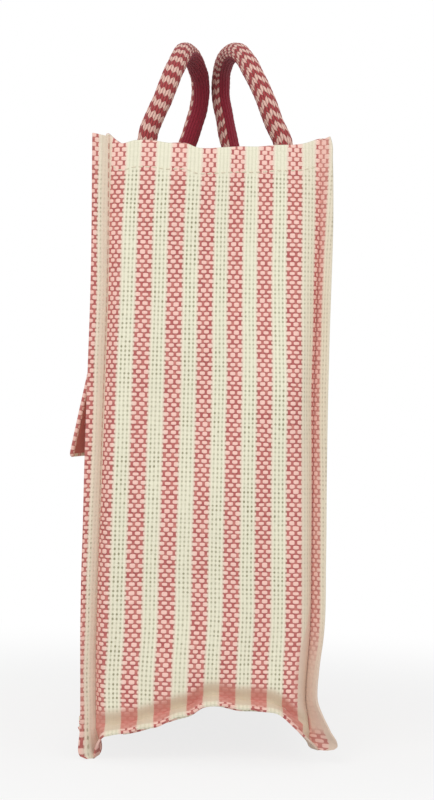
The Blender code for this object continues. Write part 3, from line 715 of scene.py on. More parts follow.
for method, operation in {
    "__add__": "ADD", "__sub__": "SUBTRACT", "__mul__": "MULTIPLY", "__truediv__": "DIVIDE",
    "least": "MINIMUM", "most": "MAXIMUM", "below": "LESS_THAN",
    "size": "ABSOLUTE", "rounded": "ROUND", "floor": "FLOOR", "part": "FRACT",
}.items():
    setattr(Wire, method, formula(operation))


class Net:
    """A node tree that is built up with formulas."""

    def __init__(self, tree):
        self.tree = tree

    def put(self, socket, value):
        if isinstance(value, Wire):
            self.tree.links.new(value.socket, socket)
        else:
            socket.default_value = value

    def node(self, kind, inputs, output=0, **settings):
        made = self.tree.nodes.new("ShaderNode" + kind)
        for setting, value in settings.items():
            setattr(made, setting, value)
        for socket, value in inputs.items():
            self.put(made.inputs[socket], value)
        return Wire(self, made.outputs[output])

    def math(self, operation, *values):
        return self.node("Math", dict(enumerate(values)), operation=operation)


class Look(Net):
    """A Principled material."""

    def __init__(self, name, roughness, sheen, specular):
        self.material = bpy.data.materials.new(name)
        self.material.use_nodes = True
        super().__init__(self.material.node_tree)
        self.shader = self.tree.nodes["Principled BSDF"]
        self.shader.inputs["Roughness"].default_value = roughness
        self.shader.inputs["Specular IOR Level"].default_value = specular
        self.shader.inputs["Sheen Weight"].default_value = sheen

    def mix(self, share, first, second, blend="MIX"):
        return self.node("Mix", {0: share, 6: first, 7: second}, 2, data_type="RGBA", blend_type=blend)

    def cloth_map(self):
        """The place on the cloth in metres: across its warps, and along them."""
        across = self.node("SeparateXYZ", {0: self.node("UVMap", {}, uv_map="cloth")})
        return across, Wire(self, across.socket.node.outputs[1])

    def fact(self, name):
        return self.node("Attribute", {}, "Fac", attribute_name=name, attribute_type="GEOMETRY")

    def noise(self, across, along, seed=0.0, detail=1.0):
        """Smooth noise between about -1 and 1, a unit long either way."""
        place = self.node("CombineXYZ", {0: across, 1: along, 2: seed})
        inputs = {"Vector": place, "Scale": 1.0, "Detail": detail}
        return (self.node("TexNoise", inputs, noise_dimensions="3D") - 0.5) * 3.0

    def bump(self, height, metres):
        """Relief from a height in units of so many metres."""
        relief = self.node("Bump", {"Strength": 1.0, "Distance": metres, "Height": height})
        self.put(self.shader.inputs["Normal"], relief)

    def shaded(self, color, shade):
        """The finished material in a colour that is darkened or lightened."""
        tone = self.node("CombineColor", {0: shade, 1: shade, 2: shade})
        return self.color(self.mix(1.0, color, tone, "MULTIPLY"))

    def color(self, value):
        self.put(self.shader.inputs["Base Color"], value)
        return self.material


# Weave: WARP_START is the way from the cloth's cut edge back to the start of a red stripe, and
# the dots are where wefts show over red warps, in shares of the pitches
WARP_PITCH = 0.00254
WEFT_PITCH = 0.00297
STRIPE_WARPS = 4
WARP_START = 0.00496
DOT_HALF_WIDTH = 0.69
DOT_HALF_HEIGHT = 0.40
# Some of these colours are painted shade: the cream between the warps, the colours of the weave's gaps, and
# the smoothed tones of the seam valleys and of the band above the base seam.
CREAM = srgb(241, 237, 214)
CREAM_GROOVE_SHADE = srgb(228, 225, 200)
CREAM_HOLE_SHADE = srgb(142, 136, 104)
CREAM_TINTED = srgb(243, 222, 205)
CREAM_SMOOTHED_IN_SHADE = srgb(226, 204, 186)
RED = srgb(184, 100, 98)
RED_PALE = srgb(214, 142, 132)
RED_HOLE_SHADE = srgb(140, 66, 64)
RED_SMOOTHED_IN_SHADE = srgb(212, 150, 138)
PINK = srgb(251, 208, 196)
EDGE_HOLE_SHADE = srgb(176, 128, 110)
CREAM_IN_BAND_SHADE = srgb(220, 204, 181)
RED_IN_BAND_SHADE = srgb(214, 146, 134)


def striped_jute():
    """Coarse plain weave: stripes of red and of cream warps, crossed by cream wefts."""
    net = Look("striped_jute", roughness=0.92, sheen=0.05, specular=0.1)
    across, along = net.cloth_map()
    worn, faded, bare, hem = (net.fact(name) for name in FACTS)
    row_sway = net.noise(across * 40.0, along * 150.0, 1.0) * 0.00055
    row_sway = row_sway + net.noise(across * 9.0, along * 14.0, 11.0) * 0.0009
    warp_sway = net.noise(across * 90.0, along * 25.0, 2.0) * 0.00022
    warps = (across + warp_sway + WARP_START) / WARP_PITCH - 0.5
    wefts = (along + row_sway) / WEFT_PITCH
    warp, weft = warps.rounded(), wefts.rounded()
    from_warp, from_weft = (warps - warp).size(), (wefts - weft).size()
    place = (warps + weft) / 2.0
    from_dot = (place - place.rounded()) * 2.0

    middle = (warps - STRIPE_WARPS / 2 + 0.5) / (2.0 * STRIPE_WARPS)
    from_red = (middle - middle.rounded()).size() * 2.0 * STRIPE_WARPS
    in_red = 1.0 - from_red.fade(STRIPE_WARPS / 2 - 0.1, STRIPE_WARPS / 2 + 0.1)

    uneven = net.noise(place.rounded() * 1.7, weft * 1.9, 3.0)
    shifted = net.noise(place.rounded() * 2.3, weft * 1.3, 13.0)
    dot_width = shifted * 0.10 + DOT_HALF_WIDTH + hem * 0.04
    dot_height = uneven * 0.14 + DOT_HALF_HEIGHT + hem * 0.08
    wide, high = from_dot / dot_width, (wefts - weft + shifted * 0.05) / dot_height
    wide, high = wide * wide, high * high
    dome = 1.0 - wide * wide - high * high
    dot = dome.fade(-0.30, 0.50)

    # The weave's gaps are not cut through; their dark colour is painted shade, standing in for the shaded
    # inside that shows through them.
    hole_across, hole_along = (from_warp - 0.5) / 0.34, (from_weft - 0.5) / 0.34
    hole = (1.0 - hole_across * hole_across - hole_along * hole_along).fade(-0.1, 1.0)
    loose = (net.noise(across * 22.0, along * 22.0, 9.0) * 0.4 + 0.6).fade(-0.1, 0.9)
    open_here = (net.noise(warps.floor() * 1.3, wefts.floor() * 1.6, 10.0) * 0.9 + 0.6).fade(-0.3, 1.1)
    # Where the seam valleys and the base band are painted in shade and the creases painted pale, the weave is
    # also closed and flattened.
    smooth_painted = worn.most(faded).most(bare)
    closed = hem.most(smooth_painted)
    openness = hole * loose * open_here * (1.0 - closed)

    fibre = net.noise(across * 900.0, along * 110.0, 6.0) * (1.0 - dot)
    fibre = fibre + net.noise(across * 110.0, along * 900.0, 8.0) * dot
    thread_tone = net.noise(warp * 2.1, along * 9.0, 5.0) * 0.6
    thread_tone = thread_tone + net.noise(across * 9.0, weft * 2.3, 7.0) * 0.4
    # Between the warps the cream is darker: painted shade in the grooves of the weave.
    ridge = from_warp.fade(0.18, 0.5)
    cream = net.mix(openness, net.mix(ridge, CREAM, CREAM_GROOVE_SHADE), CREAM_HOLE_SHADE)
    tinted = net.mix(1.0 - from_red.fade(2.0, 2.7), cream, CREAM_TINTED)
    cream = net.mix(1.0 - openness, cream, tinted)
    paleness = (net.noise(warp * 1.9, wefts * 0.7, 12.0) * 0.5 + 0.4).fade(0.0, 1.0)
    red = net.mix(openness * 0.5, net.mix(paleness, RED, RED_PALE), RED_HOLE_SHADE)
    red = net.mix(dot, red, net.mix(from_red.fade(1.1, 2.3), PINK, CREAM_TINTED))
    color = net.mix(in_red, cream, red)
    # Painted shade in the gaps along the edges of the red stripes.
    edge = 1.0 - (from_red - STRIPE_WARPS / 2).size().fade(0.15, 0.4)
    color = net.mix(edge * hole * (1.0 - closed) * 0.35, color, EDGE_HOLE_SHADE)
    # Painted shade: the seam valleys and the band above the base seam take a smoothed tone, darker than the
    # cream and paler than the red. In the creases and low corners red gives way to that cream, partly the
    # cloth's own cream and partly painted light that softens the creases' shadow.
    pale = net.mix(in_red * (1.0 - bare * 0.9), CREAM_SMOOTHED_IN_SHADE, RED_SMOOTHED_IN_SHADE)
    pale = net.mix(faded, pale, net.mix(in_red, CREAM_IN_BAND_SHADE, RED_IN_BAND_SHADE))
    color = net.mix((worn * (1.0 - in_red * 0.7)).most(faded * 0.88).most(bare * 0.96), color, pale)
    relief = dome.most(-0.6) * (in_red * 0.5 + 0.5) + (1.0 - ridge) * (1.0 - dot) * 0.9
    relief = relief - openness * 0.8 + fibre * 0.06
    net.bump(relief * (1.0 - smooth_painted * 0.7), 0.00021)
    return net.shaded(color, thread_tone * 0.035 + fibre * 0.035 + 1.0)


THREAD_PITCH = 0.0006  # of the fine cottons


def plain_cloth(name, color, pale):
    """A fine plain cotton in one colour."""
    net = Look(name, roughness=0.9, sheen=0.1, specular=0.1)
    across, along = net.cloth_map()
    height = (along / THREAD_PITCH).cosine() * (across / THREAD_PITCH).cosine()
    cloud = net.noise(across * 60.0, along * 60.0, 1.0, detail=3.0)
    # Paler on the threads' crests and darker between them, which is painted shade of the fine weave, mixed
    # with a cloudy tone of the cotton.
    shade = (height * 0.15 + cloud * 0.3 + 0.3).most(0.0).least(1.0)
    net.bump(height, 0.00008)
    return net.color(net.mix(shade, color, pale))


COLUMN_PITCH = 0.00210
STITCH_LENGTH = 0.0045
PATTERN_COLUMNS = 5.5  # either side of the pattern's middle; the rest of the rope is plain
BAND_SHIFT = 0.0014  # of the bands along the rope, from column to column
KNIT_CREAM = srgb(240, 196, 182)
KNIT_RED = srgb(176, 76, 78)
KNIT_PLAIN = srgb(150, 44, 60)


def rope_knit(name, zigzag):
    """Slanting stitches in columns: bands of cream and red, shifted from column to column."""
    net = Look(name, roughness=0.85, sheen=0.15, specular=0.15)
    across, along = net.cloth_map()
    columns = across / COLUMN_PITCH
    column = columns.rounded()
    from_column = columns - column
    slant = from_column * ((column / 2.0).part().below(0.25) * 2.0 - 1.0) * 0.55
    level = (along + zigzag(column)) / STITCH_LENGTH + slant
    level = level + net.noise(column * 3.7, along * 60.0, 1.0) * 0.10
    stitch = level.floor()
    within = level - stitch
    patterned = column.size().below(PATTERN_COLUMNS)
    color = net.mix(patterned, KNIT_PLAIN, net.mix((stitch / 2.0).part().below(0.25), KNIT_RED, KNIT_CREAM))
    edge = (from_column.size() * 2.0).fade(0.45, 1.05)
    end = (within - 0.5).size().fade(0.38, 0.5)
    strands = net.noise(across * 2600.0, along * 120.0 + slant * 3.0, 2.0)
    net.bump((1.0 - edge) * 0.8 - end * 0.3 + strands * 0.10, 0.0004)
    # The grooves between the columns and the ends of the stitches are darkened, which is painted shade; the
    # strands give the yarn its uneven tone.
    return net.shaded(color, 1.0 - edge * (patterned * 0.28 + 0.14) - end * 0.12 + strands * 0.07)


def front_zigzag(column):
    """Bands that fall over the outer third of the pattern and run level on the rest."""
    return (column + 5.0).most(0.0).least(3.5) * BAND_SHIFT


def back_zigzag(column):
    """Bands that fall away to both sides of one ridge line."""
    return (column + 1.0).size() * BAND_SHIFT


LOOKS = {
    "striped_jute": striped_jute(),
    "red_lining": plain_cloth("red_lining", srgb(210, 122, 114), srgb(224, 140, 130)),
    "patch_cotton": plain_cloth("patch_cotton", srgb(214, 198, 172), srgb(232, 220, 198)),
    "rope_knit": rope_knit("rope_knit", front_zigzag),
}
KNITS = {-1: LOOKS["rope_knit"], 1: rope_knit("rope_knit_back", back_zigzag)}
PALE_THREAD = plain_cloth("pale_thread", srgb(226, 216, 192), srgb(238, 230, 208))
BROWN_THREAD = plain_cloth("brown_thread", srgb(198, 148, 132), srgb(212, 166, 150))


# Rope handles

ROPE_RADIUS = 0.0067
ROPE_COLUMNS = 20
COLUMN_POINTS = 5
KNIT_RELIEF = 0.0003
ROPE_WAVES = (0.00018, 0.02)
ROPE_CAP = 0.002
ROPE_STEP = 0.0005
LEG_X = 0.055
LOOP_HEART = 0.435  # height of the point that a loop's patterned side faces away from
UPRIGHT_LEG = (0.425, 0.035)  # where that side starts to tilt, and its run
TAIL_TOP = 0.4074
TAIL_LENGTH = 0.0165
TAIL_FLAT_BELOW = 0.006
TAIL_TOP_RADIUS = 0.0058
TAIL_HALF_WIDTH = 0.0080
TAIL_HALF_THICKNESS = 0.0020
TURN_FROM_HEM = (0.4034, 0.010)  # where the rope starts to turn away from the hem, and its run
ROUND_FROM = (0.4034, 0.008)  # where it starts to be round, and its run
ROPE_CLEARANCE = 0.0003

# Middle line of each loop from its near leg to its far leg, and how far its pattern is turned
# about the rope there, in degrees towards the back
HANDLES = {
    -1: [
        (0.0545, -0.0452, 0.4190, 0.0), (0.0500, -0.0366, 0.4420, 0.0), (0.0380, -0.0283, 0.4662, 0.0),
        (0.0180, -0.0235, 0.4800, -5.0), (0.0000, -0.0202, 0.4828, -12.0), (-0.0200, -0.0160, 0.4800, -20.0),
        (-0.0400, -0.0118, 0.4700, -30.0), (-0.0520, -0.0124, 0.4520, -35.0),
        (-0.0562, -0.0190, 0.4290, -35.0), (-0.0555, -0.0235, 0.4130, -35.0),
    ],
    1: [
        (0.0550, 0.0480, 0.4120, 20.0), (0.0530, 0.0410, 0.4280, 20.0), (0.0500, 0.0354, 0.4435, 15.0),
        (0.0430, 0.0277, 0.4600, 5.0), (0.0250, 0.0180, 0.4785, -10.0), (0.0000, 0.0110, 0.4838, -35.0),
        (-0.0200, 0.0068, 0.4820, -55.0), (-0.0400, 0.0040, 0.4745, -68.0), (-0.0510, 0.0036, 0.4620, -76.0),
        (-0.0560, 0.0072, 0.4440, -78.0), (-0.0560, 0.0125, 0.4210, -78.0),
    ],
}


def hem_face(side, x, height):
    """From the bag's middle to the inner surface of a panel's turned hem."""
    return half_depth(side, x, height) + PANEL_SWELL - LAYERS - CLOTH / 2


def hem_slope(side, x):
    return side * MOUTH[side][1] * math.pi / PANEL_WIDTH * math.cos(math.pi * x / PANEL_WIDTH)


def hem_lean(side, x, wide):
    """How much a level piece stands off the slanting hem, by its half width."""
    return abs(hem_slope(side, x)) * wide * 0.5


def tail_section(height):
    """Half width and half thickness of a sewn rope end: round at its top, pressed flat below."""
    flat = ease((TAIL_TOP - height) / (TAIL_TOP - RIM_HEIGHT + TAIL_FLAT_BELOW))
    wide = TAIL_TOP_RADIUS + (TAIL_HALF_WIDTH - TAIL_TOP_RADIUS) * flat
    thick = TAIL_TOP_RADIUS + (TAIL_HALF_THICKNESS - TAIL_TOP_RADIUS) * flat
    return wide, thick


def tail_line(side, x, turn):
    """Points of a sewn rope end from its bottom up, against the hem, with the rope's turn."""
    found = []
    for height in np.linspace(RIM_HEIGHT - TAIL_LENGTH, RIM_HEIGHT, 7):
        wide, thick = tail_section(height)
        y = side * (hem_face(side, x, height) - ROPE_CLEARANCE - thick - hem_lean(side, x, wide))
        found.append((x, y, height, turn))
    return found


def spline(points, step):
    """A smooth line through points (rows of any number of values, place first), evenly stepped."""
    points = np.array(points, float)
    chord = run_along(points[:, :3])
    fine = np.linspace(0, chord[-1], int(chord[-1] / step) + 1)
    return np.stack(curves(np.column_stack([chord, points]), fine), axis=1)


def tube_faces(rings, sides, first=0):
    """Faces of a closed tube whose points are numbered ring by ring, from first on."""
    faces = []
    last = first + (rings - 1) * sides
    for start in range(first, last, sides):
        for corner in range(sides):
            one, other = start + corner, start + (corner + 1) % sides
            faces.append((one, other, other + sides, one + sides))
    return faces + [tuple(range(first, first + sides))[::-1], tuple(range(last, last + sides))]


def add_handle(name, side, solids):
    """One rope from sewn end to sewn end: a knitted tube whose pattern lies on its outer side."""
    loop = HANDLES[side]
    near, far = tail_line(side, LEG_X, loop[0][3]), tail_line(side, -LEG_X, loop[-1][3])
    line = spline(near + loop + far[::-1], ROPE_STEP)
    places, turns = line[:, :3], np.radians(line[:, 3])
    height = places[:, 2]
    along = unit(np.gradient(places, axis=0))
    heart = np.array((0.0, places[len(places) // 2, 1], LOOP_HEART))
    away = (places - heart) * (1, 0, 1)
    away[:, 2] = away[:, 2] * rise(height, *UPRIGHT_LEG)
    away = unit(away - along * np.sum(away * along, axis=1, keepdims=True))
    beside = np.cross(along, away)
    face = away * np.cos(turns)[:, None] + beside * np.sin(turns)[:, None]
    low = 1 - rise(height, *TURN_FROM_HEM)[:, None]
    hem_line = [np.sign(p[0]) * np.array((1, hem_slope(side, p[0]), 0)) for p in places]
    face = unit(face * (1 - low) + unit(np.array(hem_line)) * low)
    beside = unit(np.cross(along, face))
    face = np.cross(beside, along)

    rounded = rise(height, *ROUND_FROM)
    wide, thick = (at + (ROPE_RADIUS - at) * rounded for at in tail_section(height))
    count = ROPE_COLUMNS * COLUMN_POINTS
    column = (np.arange(count + 1) + 0.5) / COLUMN_POINTS - ROPE_COLUMNS / 2 - 0.5
    run = np.arange(len(places)) * ROPE_STEP
    ridge = 1 - (2 * (column - np.round(column))) ** 2
    stitch = run[:, None] / STITCH_LENGTH + 0.5 * np.round(column)
    relief = KNIT_RELIEF * (ridge + np.cos(2 * np.pi * stitch) * 0.25 - 0.6)
    relief = relief + ROPE_WAVES[0] * ripple(run[:, None], column * 0.002, 50 + side, ROPE_WAVES[1])
    turn = column * 2 * np.pi / ROPE_COLUMNS
    ends = np.minimum(run, run[-1] - run)
    cap = np.sqrt(1 - (1 - np.clip(ends / ROPE_CAP, 0, 1)) ** 2) * 0.98 + 0.02
    across = np.cos(turn) * (wide[:, None] + relief) * cap[:, None]
    out = np.sin(turn) * (thick[:, None] + relief) * cap[:, None]
    rings = places[:, None] + face[:, None] * across[..., None] + beside[:, None] * out[..., None]

    rows = len(rings)
    u = column * COLUMN_PITCH
    r, c = np.indices((rows - 1, count)).reshape(2, -1, 1) + np.array([[(0, 0, 1, 1)], [(0, 1, 1, 0)]])
    sides = np.stack([u[c], run[r]], axis=-1).reshape(-1, 2)
    tips = np.stack([u[:-1], 0 * u[:-1]], axis=-1)
    around = np.concatenate([sides, tips, tips])
    mesh = cloth_mesh(name, rings[:, :-1].reshape(-1, 3), tube_faces(rows, count), around, by_corner=True)
    made = finish_piece(name, mesh, None, "rope_knit", KNITS[side])
    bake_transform(made)
    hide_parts(*solids)


# Stitches

STITCH_PITCH = 0.0045
STITCH_HALF = 0.0016
SEAM_PITCH = 0.0062  # the longer stitches of the upright seams
SEAM_HALF = 0.0021
PATCH_PITCH = 0.0036
PATCH_HALF = 0.0013
THREAD_RADIUS = 0.00042
THREAD_SIDES = 6
# Along a stitch: place, thickness and height over the cloth, as shares of its half length and
# of the thread's radius
STITCH_SHAPE = [(-1.0, 0.35, -0.9), (-0.75, 0.9, 0.1), (0.0, 1.0, 0.45), (0.75, 0.9, 0.1), (1.0, 0.35, -0.9)]
SEAM_SHARE = 0.05  # of a fin's width, from its root to its stitches
HEM_STITCH_INSET = 0.0015
POCKET_STITCH_INSET = 0.0025
FLAP_STITCH_INSET = 0.0030
PATCH_STITCH_INSET = 0.0016


def path_through(corners, counts):
    """Rows of values that lead evenly from corner to corner, each stretch with its own count."""
    stretches = [np.linspace(*ends) for ends in zip(corners, corners[1:], counts)]
    return np.concatenate(stretches[:1] + [stretch[1:] for stretch in stretches[1:]])


def add_stitches(name, lines, look, body="bag", pitch=STITCH_PITCH, half=STITCH_HALF):
    """Threads in short stitches along lines, each given by points on cloth and the way off it."""
    turns = np.arange(THREAD_SIDES) * 2 * math.pi / THREAD_SIDES
    points, faces, places = [], [], []
    for line, off in lines:
        gone = run_along(line)
        off = np.broadcast_to(off, line.shape)
        for middle in np.arange(pitch * 0.7, gone[-1] - pitch * 0.6, pitch):
            ends = middle + np.array((-half, 0.0, half))
            start, heart, stop = np.stack([np.interp(ends, gone, values) for values in line.T], axis=1)
            up = unit(np.array([np.interp(middle, gone, values) for values in off.T]))
            along = unit(stop - start)
            beside = unit(np.cross(along, up))
            faces += tube_faces(len(STITCH_SHAPE), THREAD_SIDES, len(points))
            for reach, thick, lift in STITCH_SHAPE:
                center = heart + along * (reach * half) + up * (THREAD_RADIUS * lift)
                for turn in turns:
                    out = beside * math.cos(turn) + up * math.sin(turn)
                    points.append(center + out * THREAD_RADIUS * thick)
                    places.append((turn * THREAD_RADIUS, middle + reach * half))
    return finish_piece(name, cloth_mesh(name, points, faces, places), body, "patch_cotton", look)


def fin_stitches():
    """Along the root of each upright fin, on both of its faces."""
    lines = []
    height = np.linspace(SEAM_HEIGHT + 0.010, RIM_HEIGHT - 0.002, 120)
    for end in (-1, 1):
        for side in (-1, 1):
            _, to_gusset = fin_directions(end, side, height)
            for layer in (-1, 1):
                if (end, side, layer) == (1, 1, 1):
                    continue  # these lie deep in their crease
                points = fin_place(end, side, height, np.full(len(height), SEAM_SHARE), layer)
                lines.append((points + to_gusset * (layer * CLOTH / 2), to_gusset * layer))
    return lines


def hem_stitches():
    """Around the outside of the rim, through the lower edge of the turned hem."""
    lines = []
    share = np.linspace(-0.965, 0.965, 160)[None, :]
    up = 1 - (HEM - HEM_STITCH_INSET) / WALL_HEIGHT
    for place in (panel_wall(-1), panel_wall(1), right_gusset, left_gusset):
        rows = place(share, np.array([[up - 0.01], [up], [up + 0.01]]))
        off = grid_normals(rows)[1]
        lines.append((rows[1] + off * CLOTH / 2, off))
    return lines


# Pocket and flap

POCKET_HALF_WIDTH = 0.090
POCKET_BOTTOM = 0.125
POCKET_TOP = 0.222
POCKET_HEIGHT = POCKET_TOP - POCKET_BOTTOM
POCKET_GAPE = 0.0072
POCKET_GAPE_POWER = 0.7
POCKET_SEAT = 0.0005
POCKET_HEM = 0.012
POCKET_GRID = (50, 90)
POCKET_HEM_ROWS = 6
POCKET_HEM_ENDS = 6  # columns at either side where the hem is left out
POCKET_HEM_STEP = 0.0004  # of the weave, from row to row of the hem
FLAP_HEIGHT = 0.305
FLAP_LENGTH = 0.1135
FLAP_LEAN = 11.3
FLAP_STANDOFF = 0.0026
FLAP_ROUNDING = 0.0022
FLAP_HEM = 0.0030
FLAP_GRID = (56, 84)
FLAP_BOW = 0.0009
FLAP_WAVES = (0.0008, 0.5, 60, 0.09)
FLAP_WEAVE_START = FIN + PANEL_WIDTH / 2 + 0.008
LINING_CLOTH = 0.0009
LINING_PLACE = -0.0019
FLAP_LINING_INSET = 0.0013


def pocket_place(x, height, out=0.0):
    """Points of the pocket's cloth, or so far off its outer side."""
    up = np.maximum((height - POCKET_BOTTOM) / POCKET_HEIGHT, 0)
    gape = POCKET_GAPE * np.sin(np.pi * (x / POCKET_HALF_WIDTH + 1) / 2) * up**POCKET_GAPE_POWER
    return panel(-1, x, height) - join(0, CLOTH + POCKET_SEAT + gape + out, 0)


def add_pocket():
    """The patch pocket: sewn down at its sides and bottom, a little open at its top, hem inside."""
    rows, columns = POCKET_GRID
    x = np.linspace(-1, 1, columns)[None, :] * POCKET_HALF_WIDTH
    height = POCKET_BOTTOM + POCKET_HEIGHT * np.linspace(0, 1, rows)[:, None]
    grid = pocket_place(x + 0 * height, height + 0 * x)
    inner = grid[-2 : -2 - POCKET_HEM_ROWS : -1] + (0, LAYERS, 0)
    grid = np.concatenate([grid, turned(grid[-1], np.array((0, 1.0, 0))), inner])
    cells = np.ones((len(grid) - 1, columns - 1), bool)
    cells[rows - 1 :, :POCKET_HEM_ENDS] = False
    cells[rows - 1 :, -POCKET_HEM_ENDS:] = False
    past_top = POCKET_TOP + POCKET_HEM_STEP * np.arange(1, len(grid) - rows + 1)[:, None]
    v = np.concatenate([height, past_top]) - SEAM_HEIGHT
    hem = in_hem(POCKET_TOP - SEAM_HEIGHT - v, POCKET_HEM)
    u = FIN + PANEL_WIDTH / 2 + x
    made = shell("pocket_cloth", grid, u, v, CLOTH, "bag", "striped_jute", cells, hem=hem)
    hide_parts("pocket_panel")


def pocket_stitches():
    """Along the sides and the bottom of the pocket."""
    half = POCKET_HALF_WIDTH - POCKET_STITCH_INSET
    low, high = POCKET_BOTTOM + POCKET_STITCH_INSET, POCKET_TOP - POCKET_STITCH_INSET
    x, height = path_through([(-half, high), (-half, low), (half, low), (half, high)], (40, 80, 40)).T
    return [(pocket_place(x, height, CLOTH / 2), (0.0, -1.0, 0.0))]


def flap_frame():
    """The flap's middle top point and its directions: along, down and outward."""
    ends = []
    for x in (-POCKET_HALF_WIDTH, POCKET_HALF_WIDTH):
        depth = half_depth(-1, x, FLAP_HEIGHT) + PANEL_SWELL + CLOTH / 2 + FLAP_STANDOFF
        ends.append(np.array((x, -float(depth), FLAP_HEIGHT)))
    along = unit(ends[1] - ends[0])
    level = np.cross(along, UPWARD)
    lean = math.radians(FLAP_LEAN)
    down = level * math.sin(lean) - UPWARD * math.cos(lean)
    outward = level * math.cos(lean) + UPWARD * math.sin(lean)
    return (ends[0] + ends[1]) / 2, along, down, outward


FLAP_MIDDLE, FLAP_ALONG, FLAP_DOWN, FLAP_OUT = flap_frame()


def flap_place(across, fall, out):
    """A point of the flap, which bows out a little and is wavy at its lower edge."""
    share = fall / FLAP_LENGTH
    out = out + FLAP_BOW * np.sin(np.pi * np.clip(share, 0, 1))
    out = out + waves(across, fall, FLAP_WAVES) * ease(share)
    across, fall, out = (values[..., None] for values in (across, fall, out))
    return FLAP_MIDDLE + across * FLAP_ALONG + fall * FLAP_DOWN + out * FLAP_OUT


def flap_layer(name, inset, out, thickness, slot):
    """A sheet of the flap with rounded lower corners, its edges inset from the flap's."""
    rows, columns = FLAP_GRID
    length = FLAP_LENGTH - inset
    fall = np.linspace(0.0, length, rows)[::-1, None]
    rounding = max(FLAP_ROUNDING - inset, 0.001)
    over = np.clip(fall - (length - rounding), 0, None)
    half = POCKET_HALF_WIDTH - inset - rounding + np.sqrt(np.maximum(rounding**2 - over**2, 0))
    across = np.linspace(-1, 1, columns)[None, :] * half
    hem = in_hem(np.minimum(half - np.abs(across), length - fall), FLAP_HEM)
    u, v = FLAP_WEAVE_START + across, FLAP_HEIGHT - SEAM_HEIGHT - fall
    return shell(name, flap_place(across, fall, out), u, v, thickness, "pocket_flap", slot, hem=hem)


def flap_hem(name):
    """The flap's hem: its cloth turned in around the sides and bottom, on the inner face."""
    straight = FLAP_LENGTH - FLAP_ROUNDING
    half = POCKET_HALF_WIDTH - FLAP_ROUNDING
    quarter = math.pi / 2
    path = [(-quarter, -half, 0), (-quarter, -half, straight), (0, -half, straight)]
    path += [(0, half, straight), (quarter, half, straight), (quarter, half, 0)]
    angle, x, fall = path_through(path, (40, 9, 60, 9, 40)).T
    turn, inset = np.linspace(0, math.pi, 7), np.linspace(0, FLAP_HEM, 8)[1:]
    reach = np.concatenate([TURN_RADIUS * np.sin(turn), -inset])[:, None]
    reach = np.maximum(FLAP_ROUNDING + reach, 0.0)
    out = -TURN_RADIUS * np.concatenate([1 - np.cos(turn), 2 + 0 * inset])[:, None]
    used = FLAP_ROUNDING + np.concatenate([TURN_RADIUS * turn, TURN_RADIUS * math.pi + inset])[:, None]
    grid = flap_place(x + np.sin(angle) * reach, fall + np.cos(angle) * reach, out)
    u = FLAP_WEAVE_START + x + np.sin(angle) * used
    v = FLAP_HEIGHT - SEAM_HEIGHT - fall - np.cos(angle) * used
    return shell(name, grid, u, v, CLOTH, "pocket_flap", "striped_jute", hem=1.0)


def flap_stitches():
    """Just inside the flap's edges, on its outer face."""
    half = POCKET_HALF_WIDTH - FLAP_STITCH_INSET
    low, high = FLAP_LENGTH - FLAP_STITCH_INSET, FLAP_STITCH_INSET
    path = [(-half, high), (-half, low), (half, low), (half, high), (-half, high)]
    across, fall = path_through(path, (50, 80, 50, 80)).T
    return [(flap_place(across, fall, CLOTH / 2), FLAP_OUT)]


def add_flap():
    """The flap: jute with a turned hem, and a red lining whose edges go under the hem."""
    face = flap_layer("flap_cloth", 0.0, 0.0, CLOTH, "striped_jute")
    hem = flap_hem("flap_hem")
    lining = flap_layer("flap_red_lining", FLAP_LINING_INSET, LINING_PLACE, LINING_CLOTH, "red_lining")
    stitches = add_stitches("flap_stitches", flap_stitches(), PALE_THREAD, "pocket_flap")
    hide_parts("pocket_flap")
    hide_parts("flap_lining")


# Anchor patches

PATCH_CLOTH = 0.0010
PATCH_HALF_WIDTH = 0.018
PATCH_BELOW_RIM = 0.0045
PATCH_SLACK = 0.0009
PATCH_HEIGHT = 0.0120
PATCH_FULL = 0.72  # of the rope's half width, where the patch lies on it
PATCH_SLOPE = 0.6  # of the foot beside the rope, by the patch's height over the hem
PATCH_GRID = (17, 49)


def patch_place(side, x, across, up, out=0.0):
    """Points of the patch over the rope end at x: flat at its sides, raised over the rope."""
    height = RIM_HEIGHT - PATCH_BELOW_RIM - PATCH_HEIGHT * (1 - up)
    wide, thick = tail_section(height)
    over = 2 * thick + PATCH_SLACK + hem_lean(side, x, wide)
    foot = (1 - PATCH_FULL) * wide + over * PATCH_SLOPE
    lift = over * (1 - ease((np.abs(across) - PATCH_FULL * wide) / foot))
    face = hem_face(side, x + across, height)
    return join(x + across, side * (face - ROPE_CLEARANCE - PATCH_CLOTH / 2 - lift - out), height)


def add_patch(name, side, x, solid):
    """A cotton patch that holds a rope end to the hem."""
    rows, columns = PATCH_GRID
    across = np.linspace(-1, 1, columns)[None, :] * PATCH_HALF_WIDTH
    up = np.linspace(0, 1, rows)[:, None]
    grid = patch_place(side, x, -side * across[:, ::-1], up)
    made = shell(name, grid, across, up * PATCH_HEIGHT, PATCH_CLOTH, "bag", "patch_cotton")
    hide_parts(solid)


def patch_stitches():
    """Just inside the edges of the four patches, on their inner side."""
    half, low, high = PATCH_HALF_WIDTH - PATCH_STITCH_INSET, 0.13, 0.87
    path = [(-half, high), (-half, low), (half, low), (half, high), (-half, high)]
    across, up = path_through(path, (12, 60, 12, 60)).T
    return [
        (patch_place(side, x, across, up, PATCH_CLOTH / 2), (0.0, -side, 0.0))
        for side in (-1, 1)
        for x in (-LEG_X, LEG_X)
    ]


# The pieces, with the flat size of each wall's cut sheet worked out

WALL_LENGTH = RIM_HEIGHT + HEM + math.pi * LAYERS / 2

